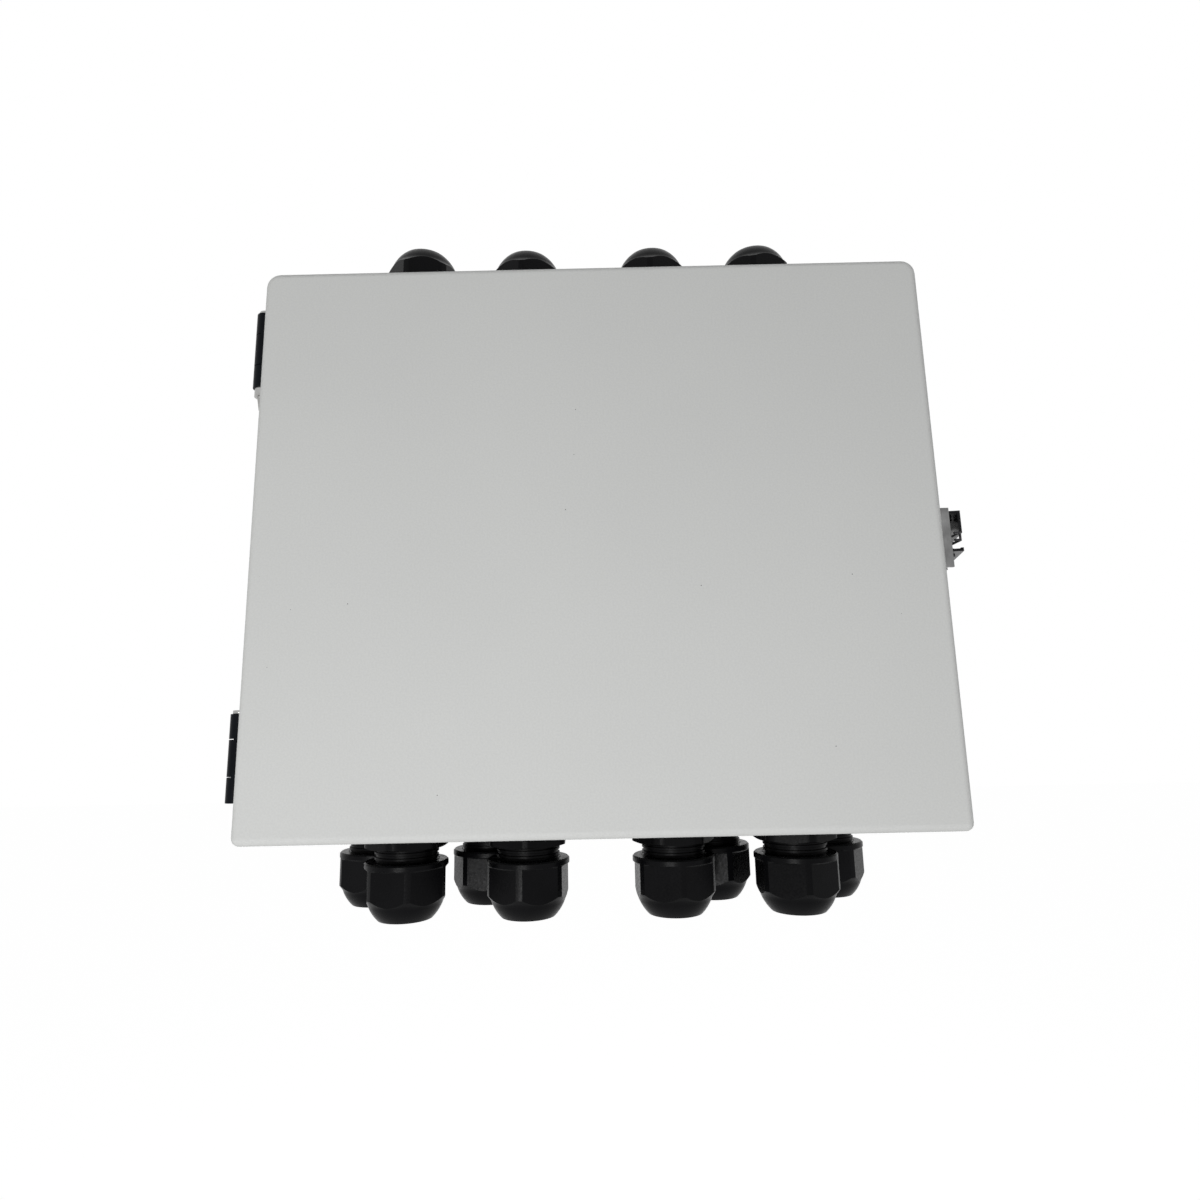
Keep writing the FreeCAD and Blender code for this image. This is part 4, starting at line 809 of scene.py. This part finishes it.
def add_thread(bm, radius, pitch, start, end):
    """Winds a thread's ridge round a turned piece between two heights."""
    seed_mesh = bpy.data.meshes.new("thread")
    seed_mesh.from_pydata([(0, 0, 0)], [], [])
    thread = bpy.data.objects.new("thread", seed_mesh)
    bpy.context.scene.collection.objects.link(thread)
    depth = THREAD_DEPTH * pitch
    values = {
        "Radius": (radius - depth) * MM,
        "Length": (end - start - pitch) * MM,
        "Turns": (end - start - pitch) / pitch,
        "Ridge": depth * MM,
    }
    with_inputs(thread, winding, values)
    thread.data.transform(Matrix.Translation((0, 0, (start + pitch / 2) * MM)))
    bm.from_mesh(thread.data)
    bpy.data.objects.remove(thread)
    return bm


def six_sided(flats, angle):
    """Distance from a hexagon's middle to its side at an angle."""
    return flats / 2 / math.cos(angle % (math.pi / 3) - math.pi / 6)


HEX_ANGLES = evenly(48)


def chamfered(flats, height, inward):
    """A ring where a hexagon's corners meet the cone that is turned on its end."""

    def row(angle):
        side = six_sided(flats, angle)
        return side, height - inward * (side - END_FACE * flats) * CHAMFER_SLOPE

    return row


def hex_bolt(flats, head, radius, length, pitch):
    """A bolt along +Z: its head rises from Z 0 and its shank goes down."""
    core = radius - THREAD_DEPTH * pitch
    bm = turned(
        [
            (0, head - 0.25),
            (0.36 * flats, head - 0.25),
            (0.38 * flats, head),
            (END_FACE * flats, head),
            chamfered(flats, head, 1),
            lambda angle: (six_sided(flats, angle), 0.3),
            lambda angle: (min(six_sided(flats, angle), 0.5 * flats), 0),
            (radius, 0),
            (radius, -0.9),
            (core, -1.2),
            (core, -length + 0.6),
            (core - 0.6, -length),
            (0, -length),
        ],
        HEX_ANGLES,
    )
    return add_thread(bm, radius, pitch, -length + 0.2, -1)


def hex_nut(flats, radius, height):
    """A nut along +Z from Z 0, chamfered at both ends, with a countersunk bore."""
    return turned(
        [
            (radius, 0.5),
            (radius + 0.5, 0),
            (END_FACE * flats, 0),
            chamfered(flats, 0, -1),
            chamfered(flats, height, 1),
            (END_FACE * flats, height),
            (radius + 0.5, height),
            (radius, height - 0.5),
        ],
        HEX_ANGLES,
        closed=True,
    )


def flat_ring(radius, bore, height):
    """A washer along +Z from Z 0, with its punched edges slightly rounded."""
    edge = min(0.25, height / 4)
    return turned(
        [
            (bore + edge, 0),
            (radius - edge, 0),
            (radius - edge * 0.3, edge * 0.3),
            (radius, edge),
            (radius, height - edge),
            (radius - edge * 0.3, height - edge * 0.3),
            (radius - edge, height),
            (bore + edge, height),
            (bore, height - edge),
            (bore, edge),
        ],
        evenly(48),
        closed=True,
    )


def threaded_stud(radius, length, collar_radius, collar_start, collar_end, pitch):
    """A weld stud along +Z with a shoulder and a chamfered, threaded end."""
    core = radius - THREAD_DEPTH * pitch
    bm = turned(
        [
            (0, length),
            (core - 0.7, length),
            (core, length - 0.7),
            (core, collar_end + 0.6),
            (radius, collar_end + 0.3),
            (radius, collar_end),
            (collar_radius - 0.4, collar_end),
            (collar_radius, collar_end - 0.4),
            (collar_radius, collar_start + 0.2),
            (collar_radius - 0.2, collar_start),
            (radius, collar_start),
            (radius, 0),
            (0, 0),
        ],
        evenly(32),
    )
    return add_thread(bm, radius, pitch, collar_end + 0.5, length - 0.1)


def depth_of(box):
    return (box[1].y - box[0].y) / MM


def seats(boxes, way, up=0.0, head=None):
    """A pattern's place in each box: up from its foot, or down by its head."""
    onward = -1 if way is FRONT else 1
    places = []
    for low, high in boxes:
        foot, top = (high.y, low.y) if way is FRONT else (low.y, high.y)
        level = foot + onward * up * MM if head is None else top - onward * head * MM
        places.append((Vector(((low.x + high.x) / 2, level, (low.z + high.z) / 2)), way))
    return places


SHOULDER, SHOULDER_START, SHOULDER_END = 6.0, 1.5, 10.0
boxes = solids_of("mounting_plate_studs")
stamped(
    "mounting_plate_studs",
    "plate_studs",
    threaded_stud(
        M6_RADIUS, depth_of(boxes[0]), SHOULDER, SHOULDER_START, SHOULDER_END, M6_PITCH
    ),
    seats(boxes, FRONT),
    stud_steel,
    turn=3.0,
    seed=4,
)
stamped(
    "mounting_plate_nuts",
    "plate_nuts",
    hex_nut(M6_FLATS, M6_RADIUS, M6_NUT),
    seats(solids_of("mounting_plate_nuts"), FRONT),
    nut_steel,
    turn=0.5,
    seed=11,
)

# The stud and the nut on the door share one node, so one box goes round both.
parts = solids_of("door_earth_stud")
door_box = (
    Vector([min(low[axis] for low, _ in parts) for axis in range(3)]),
    Vector([max(high[axis] for _, high in parts) for axis in range(3)]),
)
door_stud_length = depth_of(door_box)
FLANGE_RADIUS, FLANGE_THICK = 4.5, 1.0
bonding = turned(
    [
        (0, door_stud_length),
        (2.0, door_stud_length),
        (2.58, door_stud_length - 0.6),
        (2.58, 1.6),
        (M6_RADIUS, 1.3),
        (M6_RADIUS, FLANGE_THICK),
        (4.2, FLANGE_THICK),
        (FLANGE_RADIUS, 0.7),
        (FLANGE_RADIUS, 0),
        (0, 0),
    ],
    evenly(32),
)
add_thread(bonding, M6_RADIUS, M6_PITCH, 1.4, door_stud_length - 0.1)
stamped("door_earth_stud", "door_stud", bonding, seats([door_box], BACK), stud_steel, "door")
stamped(
    "door_earth_stud",
    "door_nut",
    hex_nut(M6_FLATS, M6_RADIUS, M6_NUT),
    seats([door_box], BACK, up=FLANGE_THICK),
    nut_steel,
    "door",
)

# ------------------------------------------------------------------ busbars
# Two flat bars of bare copper, sawn from drawn bar, with their edges broken and
# a brushed lay along them; the fused strings have small pads of the same bar.

COPPER_EDGE = 0.5 * MM
copper = finish(
    "copper",
    rgb(0.60, 0.25, 0.12),
    rgb(0.44, 0.16, 0.08),
    (0.26, 0.46),
    drift_scale=26,
    grain_scale=700,
    stretch=(0.06, 1, 1),
    metallic=1.0,
    grain_shade=0.18,
    relief=0.03,
)
for pole in ("positive", "negative"):
    dressed(f"busbar_{pole}", f"{pole}_bar", copper, COPPER_EDGE)
dressed("string_terminal_pads", "string_pads", copper, COPPER_EDGE)

# ------------------------------------------------------------------ insulators
# Dark red standoffs moulded in glass-filled polyester, each with three rounded
# ribs and two narrower waists, that hold the bars off the plate.

insulator_red = finish(
    "insulator_red",
    rgb(0.20, 0.018, 0.014),
    rgb(0.26, 0.03, 0.02),
    (0.3, 0.48),
    drift_scale=60,
    grain_scale=800,
    grain_shade=0.2,
    relief=0.08,
)
INSULATOR_HEIGHT, RIB_RADIUS, WAIST_RADIUS = 25.0, 11.0, 9.24


def standoff():
    rows = [(0, 0)]
    for share in (0.0, 0.4, 0.8):
        start, end = share * INSULATOR_HEIGHT, (share + 0.2) * INSULATOR_HEIGHT
        for height, radius in (
            (start, RIB_RADIUS - 0.9),
            (start + 0.3, RIB_RADIUS - 0.35),
            (start + 0.9, RIB_RADIUS),
            (end - 0.9, RIB_RADIUS),
            (end - 0.3, RIB_RADIUS - 0.35),
            (end, RIB_RADIUS - 0.9),
        ):
            rows.append((radius, height))
        if share < 0.8:
            rows.append((WAIST_RADIUS, end + 0.5))
            rows.append((WAIST_RADIUS, end + 0.2 * INSULATOR_HEIGHT - 0.5))
    rows.append((0, INSULATOR_HEIGHT))
    return turned(rows, evenly(56))


for node in ("busbar_insulators", "string_insulators"):
    stamped(
        node,
        f"{node}_moulded",
        standoff(),
        seats(solids_of(node), FRONT),
        insulator_red,
        turn=3.0,
        seed=6,
        sharp=50,
    )

# ------------------------------------------------------------------ bolts
# Zinc plated steel bolts: M6 under and over the insulators, M8 at the terminals,
# with washers under every head and a nut behind each busbar.

M8_RADIUS, M8_FLATS, M8_HEAD, M8_NUT, M8_PITCH = 4.0, 13.0, 5.3, 6.5, 1.25
WASHER_RADIUS, WASHER_BORE, WASHER_THICK = 8.0, 4.3, 1.6
bolt_steel = finish(
    "bolt_steel",
    rgb(0.45, 0.45, 0.42),
    rgb(0.36, 0.355, 0.33),
    (0.24, 0.42),
    drift_scale=180,
    metallic=1.0,
    grain_shade=0.15,
)
washer_steel = finish(
    "washer_steel",
    rgb(0.50, 0.50, 0.48),
    rgb(0.42, 0.42, 0.40),
    (0.24, 0.4),
    drift_scale=160,
    metallic=1.0,
    grain_shade=0.12,
)


def bolts(node, flats, head, radius, pitch, way, seed):
    """Hex bolts at a node's solids; those of one length share a pattern."""
    lengths = {}
    for box in solids_of(node):
        lengths.setdefault(round(depth_of(box) - head, 2), []).append(box)
    for number, (length, boxes) in enumerate(sorted(lengths.items())):
        shape = hex_bolt(flats, head, radius, length, pitch)
        places = seats(boxes, way, head=head)
        made = f"{node}_{number}"
        stamped(node, made, shape, places, bolt_steel, turn=3.0, seed=seed + number)


bolts("insulator_base_screws", M6_FLATS, M6_HEAD, M6_RADIUS, M6_PITCH, BACK, 20)
bolts("busbar_screws", M6_FLATS, M6_HEAD, M6_RADIUS, M6_PITCH, FRONT, 30)
bolts("string_terminal_bolts", M8_FLATS, M8_HEAD, M8_RADIUS, M8_PITCH, FRONT, 40)
bolts("busbar_terminal_bolts", M8_FLATS, M8_HEAD, M8_RADIUS, M8_PITCH, FRONT, 50)

stamped(
    "busbar_terminal_nuts",
    "bar_nuts",
    hex_nut(M8_FLATS, M8_RADIUS, M8_NUT),
    seats(solids_of("busbar_terminal_nuts"), BACK),
    nut_steel,
    turn=3.0,
    seed=60,
)
stamped(
    "terminal_washers",
    "washers",
    flat_ring(WASHER_RADIUS, WASHER_BORE, WASHER_THICK),
    seats(solids_of("terminal_washers"), FRONT),
    washer_steel,
    turn=3.0,
    seed=61,
)

# ------------------------------------------------------------------ fuses
# Four string fuses with pale ceramic bodies on tinned copper tags, bolted between
# the terminal pads and the positive bar.

fuse_grey = finish(
    "fuse_grey",
    rgb(0.60, 0.58, 0.50),
    rgb(0.52, 0.50, 0.43),
    (0.42, 0.6),
    drift_scale=60,
    grain_scale=1500,
    grain_shade=0.12,
    relief=0.05,
    speck_size=0.02,
)
tag_tin = finish(
    "tag_tin",
    rgb(0.70, 0.70, 0.68),
    rgb(0.58, 0.58, 0.56),
    (0.26, 0.44),
    drift_scale=90,
    grain_scale=500,
    stretch=(1, 1, 0.1),
    metallic=1.0,
    grain_shade=0.12,
)
dressed("string_fuses", "fuse_bodies", fuse_grey, 1.4 * MM, steps=4)
dressed("fuse_tags", "tags", tag_tin, 0.2 * MM)

# ------------------------------------------------------------------ touch guard
# A clear polycarbonate sheet with polished edges over the live parts, held by
# four hexagonal brass pillars and pan head socket screws.

PILLAR_FLATS, GUARD_SCREW_RADIUS, SCREW_HEAD_RADIUS, SCREW_HEAD = 8.0, 2.0, 3.8, 2.6
PLATE_THICK, TAPPED_DEPTH, SCREW_PITCH, SOCKET_FLATS = 2.0, 8, 0.7, 2.5
guard_clear = finish(
    "guard_clear",
    rgb(0.93, 0.96, 0.97),
    rgb(0.90, 0.94, 0.95),
    (0.04, 0.09),
    drift_scale=20,
    grain_scale=300,
    grain_shade=0.0,
    relief=0.002,
)
guard_shader = guard_clear.node_tree.nodes["Principled BSDF"]
guard_shader.inputs["Transmission Weight"].default_value = 1.0
guard_shader.inputs["IOR"].default_value = 1.2
dressed("touch_guard", "guard", guard_clear, 0.5 * MM)

pillar_brass = finish(
    "pillar_brass",
    rgb(0.66, 0.55, 0.34),
    rgb(0.56, 0.46, 0.27),
    (0.24, 0.4),
    drift_scale=120,
    grain_scale=500,
    stretch=(1, 0.1, 1),
    metallic=1.0,
    grain_shade=0.12,
)
boxes = solids_of("guard_pillars")
pillar_top = depth_of(boxes[0]) - PLATE_THICK
pillar = turned(
    [
        (0, -PLATE_THICK),
        (GUARD_SCREW_RADIUS, -PLATE_THICK),
        (GUARD_SCREW_RADIUS, 0),
        (END_FACE * PILLAR_FLATS, 0),
        chamfered(PILLAR_FLATS, 0, -1),
        chamfered(PILLAR_FLATS, pillar_top, 1),
        (END_FACE * PILLAR_FLATS, pillar_top),
        (GUARD_SCREW_RADIUS, pillar_top),
        (GUARD_SCREW_RADIUS, pillar_top - TAPPED_DEPTH),
        (0, pillar_top - TAPPED_DEPTH),
    ],
    HEX_ANGLES,
)
places = seats(boxes, FRONT, up=PLATE_THICK)
stamped("guard_pillars", "pillars", pillar, places, pillar_brass, turn=3.0, seed=70)

boxes = solids_of("guard_screws")
screw_length = depth_of(boxes[0]) - SCREW_HEAD
pan_screw = turned(
    [
        (0, 0.9),
        lambda angle: (six_sided(SOCKET_FLATS, angle), 0.9),
        lambda angle: (six_sided(SOCKET_FLATS, angle), SCREW_HEAD - 0.15),
        (1.7, SCREW_HEAD),
        (2.3, SCREW_HEAD - 0.05),
        (3.1, 2.1),
        (3.6, 1.3),
        (SCREW_HEAD_RADIUS, 0.4),
        (SCREW_HEAD_RADIUS, 0),
        (1.7, 0),
        (1.7, -screw_length + 0.4),
        (1.3, -screw_length),
        (0, -screw_length),
    ],
    HEX_ANGLES,
)
add_thread(pan_screw, GUARD_SCREW_RADIUS, SCREW_PITCH, -screw_length + 0.1, -0.1)
places = seats(boxes, FRONT, head=SCREW_HEAD)
stamped("guard_screws", "pan_screws", pan_screw, places, bolt_steel, turn=3.0, seed=71)

# ------------------------------------------------------------------ earth stud
# A brass bolt through the plate with a washer and two nuts, for the earth leads.

earth_brass = finish(
    "earth_brass",
    rgb(0.72, 0.55, 0.25),
    rgb(0.60, 0.44, 0.18),
    (0.2, 0.38),
    drift_scale=120,
    metallic=1.0,
    grain_shade=0.15,
)
boxes = solids_of("earth_stud")[:1]
stamped(
    "earth_stud",
    "earth_bolt",
    hex_bolt(M8_FLATS, M8_HEAD, M8_RADIUS, depth_of(boxes[0]) - M8_HEAD, M8_PITCH),
    seats(boxes, BACK, head=M8_HEAD),
    earth_brass,
)
for number, box in enumerate(sorted(solids_of("earth_nuts"), key=lambda pair: -pair[1].y)):
    if depth_of(box) < 2:
        ring = flat_ring(WASHER_RADIUS, WASHER_BORE, WASHER_THICK)
    else:
        ring = hex_nut(M8_FLATS, M8_RADIUS, M8_NUT)
    places = seats([box], FRONT)
    made = f"earth_ring_{number}"
    stamped("earth_nuts", made, ring, places, earth_brass, turn=0.6, seed=80 + number)

# ------------------------------------------------------------------ gland bodies
# Black nylon bodies with a turned hexagonal collar outside the wall, a grooved
# neck for the dome nut, and an M25 thread inside the box.

GLAND_FLATS, GLAND_CORNER, GLAND_EDGE = 33.0, 18.3, 0.6
GLAND_BORE, GLAND_THREAD, GLAND_NECK, NECK_GROOVE = 9.5, 12.4, 14.0, 13.4
WASHER_HIGH, COLLAR_HIGH, NECK_GRIP = 2.0, 8.5, 13.5
SHOWN_ABOVE, SHOWN_BELOW = 1.5, 5.5
SEAL_RADIUS, SEAL_BORE, SEAL_LONG = 12.2, 9.0, 12.5
GLAND_TAIL, GLAND_PITCH, WALL = 12.0, 1.5, 1.5
LOCKNUT_FLATS, LOCKNUT_LONG = 32.0, 5.0
gland_nylon = finish(
    "gland_nylon",
    rgb(0.0022, 0.0022, 0.0025),
    rgb(0.0036, 0.0036, 0.0041),
    (0.26, 0.44),
    drift_scale=55,
    grain_scale=1100,
    grain_shade=0.2,
    relief=0.06,
    specular=0.05,
)
CORNER_HALF = math.pi / 6 - math.acos(GLAND_FLATS / 2 / GLAND_CORNER)
GLAND_ANGLES = []
for sixth in range(6):
    start = sixth * math.pi / 3
    GLAND_ANGLES += [start, start + CORNER_HALF * 0.55, start + CORNER_HALF]
    inner = math.pi / 3 - 2 * CORNER_HALF
    GLAND_ANGLES += [start + CORNER_HALF + inner * step / 9 for step in range(1, 10)]
    GLAND_ANGLES.append(start + math.pi / 3 - CORNER_HALF * 0.55)


def gland_side(angle):
    """A gland's six flats with their corners turned round."""
    return min(GLAND_CORNER, six_sided(GLAND_FLATS, angle))


def hex_row(height, inset=0.0):
    return lambda angle: (gland_side(angle) - inset, height)


def collar_end(height, inward):
    """The end of the collar, with the edge that the lathe leaves on its corners."""

    def row(angle):
        side = gland_side(angle)
        return side, height - inward * max(0.15, side - GLAND_FLATS / 2 + 0.15) * 0.35

    return row


def gland_body(shown, bands):
    """A gland body along +Z from the wall's outer face."""
    top = WASHER_HIGH + COLLAR_HIGH
    nut_start = top + shown
    end = nut_start + NECK_GRIP
    step = shown / bands
    core = GLAND_THREAD - THREAD_DEPTH * GLAND_PITCH
    rows = [
        (GLAND_BORE, -WALL - GLAND_TAIL),
        (core - 0.4, -WALL - GLAND_TAIL),
        (core, -WALL - GLAND_TAIL + 0.6),
        (core, -WALL - 0.2),
        (GLAND_THREAD, -WALL),
        (GLAND_THREAD, WASHER_HIGH),
        (GLAND_FLATS / 2 - 0.4, WASHER_HIGH),
        collar_end(WASHER_HIGH, -1),
        collar_end(top, 1),
        (GLAND_FLATS / 2 - 0.4, top),
        (NECK_GROOVE, top),
    ]
    radii = (NECK_GROOVE, GLAND_NECK)
    for band in range(bands):
        height = top + (band + 1) * step
        rows.append((radii[band % 2], height - 0.12))
        rows.append((radii[(band + 1) % 2], height + 0.12))
    rows += [
        (GLAND_NECK, end - 0.5),
        (GLAND_NECK - 0.5, end),
        (SEAL_RADIUS, end),
        (SEAL_RADIUS, end - SEAL_LONG),
        (GLAND_BORE, end - SEAL_LONG),
    ]
    bm = turned(rows, GLAND_ANGLES, closed=True)
    return add_thread(bm, GLAND_THREAD, GLAND_PITCH, -WALL - GLAND_TAIL + 0.1, -WALL)


def gland_places(node, way):
    """Where each gland stands on the wall, from the washers under the collars."""
    places = []
    for low, high in solids_of(node):
        middle = (low + high) / 2
        upward = middle.z > 0
        if upward == (way is UP):
            middle.z = low.z if upward else high.z
            places.append((middle, way))
    return places


for node, way, shown, bands in (
    ("gland_bodies_top", UP, SHOWN_ABOVE, 1),
    ("gland_bodies_bottom", DOWN, SHOWN_BELOW, 5),
):
    stamped(
        node,
        f"{node}_moulded",
        gland_body(shown, bands),
        gland_places("gland_washers", way),
        gland_nylon,
        turn=3.0,
        seed=90,
        sharp=30,
    )

# Locknuts inside the box hold the bodies to its wall.
locknut_places = []
for way, inward in ((UP, -1), (DOWN, 1)):
    for place, _ in gland_places("gland_washers", way):
        place.z += inward * WALL * MM
        locknut_places.append((place, DOWN if way is UP else UP))
locknut = hex_nut(LOCKNUT_FLATS, GLAND_THREAD, LOCKNUT_LONG)
stamped("gland_locknuts", "locknuts", locknut, locknut_places, gland_nylon, turn=3.0, seed=91)

# ------------------------------------------------------------------ gland rubber
# A flat rubber washer lies under each collar, and a soft ring inside each neck
# closes on the cable; it can be seen through the dome nut's mouth.

gland_rubber = finish(
    "gland_rubber",
    rgb(0.010, 0.010, 0.011),
    rgb(0.018, 0.018, 0.019),
    (0.55, 0.8),
    drift_scale=90,
    grain_scale=1400,
    grain_shade=0.3,
    relief=0.08,
    specular=0.25,
)
WALL_WASHER_RADIUS = 16.0


def both_ways(node):
    return gland_places(node, UP) + gland_places(node, DOWN)


wall_washer = flat_ring(WALL_WASHER_RADIUS, GLAND_THREAD, WASHER_HIGH)
stamped(
    "gland_washers", "wall_washers", wall_washer, both_ways("gland_washers"), gland_rubber
)
seal_ring = turned(
    [
        (SEAL_BORE + 0.9, 0),
        (SEAL_RADIUS, 0),
        (SEAL_RADIUS, SEAL_LONG),
        (SEAL_BORE + 1.2, SEAL_LONG),
        (SEAL_BORE + 0.35, SEAL_LONG - 0.35),
        (SEAL_BORE, SEAL_LONG - 1.2),
        (SEAL_BORE, 0.9),
        (SEAL_BORE + 0.3, 0.3),
    ],
    evenly(56),
    closed=True,
)
places = both_ways("gland_seals")
stamped("gland_seals", "cable_seals", seal_ring, places, gland_rubber, sharp=50)

# ------------------------------------------------------------------ dome nuts
# Twelve black nylon dome nuts, each tightened by hand and so turned its own way.
# A round skirt, six flats, a turned shoulder, then a dome that ends in the mouth.

NUT_LONG, NUT_SKIRT, NUT_STRAIGHT, DOME_START = 24.5, 3.0, 15.0, 17.3
MOUTH_RIM, MOUTH_LONG, NUT_THREAD_DEEP, NUT_BORE = 12.0, 3.0, 14.0, 14.05
NUT_TURNS = {
    "top_left_inner": 26, "front_left_inner": 37, "back_left_inner": 4,
    "top_left_outer": 14, "front_left_outer": 14, "back_left_outer": 26,
    "top_right_inner": 25, "front_right_inner": 24, "back_right_inner": 10,
    "top_right_outer": 18, "front_right_outer": 28, "back_right_outer": 3,
}
nut_nylon = finish(
    "nut_nylon",
    rgb(0.0022, 0.0022, 0.0026),
    rgb(0.0036, 0.0036, 0.0042),
    (0.20, 0.38),
    drift_scale=55,
    grain_scale=1100,
    grain_shade=0.2,
    relief=0.05,
    specular=0.055,
)


def shoulder_row(beyond):
    """The line where each flat runs out into the shoulder's cone."""

    def row(angle):
        side = gland_side(angle)
        share = (GLAND_CORNER - side) / (GLAND_CORNER - GLAND_FLATS / 2)
        share = min(1, share + beyond * (1 - share))
        radius = GLAND_CORNER - share * (GLAND_CORNER - GLAND_FLATS / 2)
        return radius, NUT_STRAIGHT + share * (DOME_START - NUT_STRAIGHT)

    return row


def dome_nut():
    rim, flat, high = MOUTH_RIM, GLAND_FLATS / 2, NUT_LONG - DOME_START
    drop = (flat**2 - rim**2 - high**2) / (2 * high)
    ball, centre = math.hypot(flat, drop), DOME_START - drop
    rows = [
        (GLAND_CORNER - GLAND_EDGE, 0),
        (GLAND_CORNER, GLAND_EDGE),
        (GLAND_CORNER, NUT_SKIRT - GLAND_EDGE),
        lambda angle: (max(GLAND_CORNER - GLAND_EDGE, gland_side(angle)), NUT_SKIRT),
        hex_row(NUT_SKIRT),
        hex_row(NUT_SKIRT + 4),
        hex_row(NUT_STRAIGHT - 4),
        shoulder_row(0),
        shoulder_row(0.5),
        (flat, DOME_START),
    ]
    for step in range(1, 7):
        height = DOME_START + high * step / 6
        rows.append((math.sqrt(ball**2 - (height - centre) ** 2), height))
    rows += [
        (rim - 0.5, NUT_LONG),
        (GLAND_BORE + 0.5, NUT_LONG),
        (GLAND_BORE, NUT_LONG - 0.5),
        (GLAND_BORE, NUT_LONG - MOUTH_LONG),
        (NUT_BORE, NUT_THREAD_DEEP),
        (NUT_BORE, 0.5),
        (NUT_BORE + 0.5, 0),
    ]
    return turned(rows, GLAND_ANGLES, closed=True)


for name, turn in NUT_TURNS.items():
    node = f"gland_nut_{name}"
    place, way = both_ways(node)[0]
    facing = (Euler(way).to_matrix() @ Matrix.Rotation(math.radians(turn), 3, "Z")).to_euler()
    stamped(
        node,
        f"dome_nut_{name}",
        dome_nut(),
        [(place, facing)],
        nut_nylon,
        f"nut_{name}",
        sharp=24,
    )
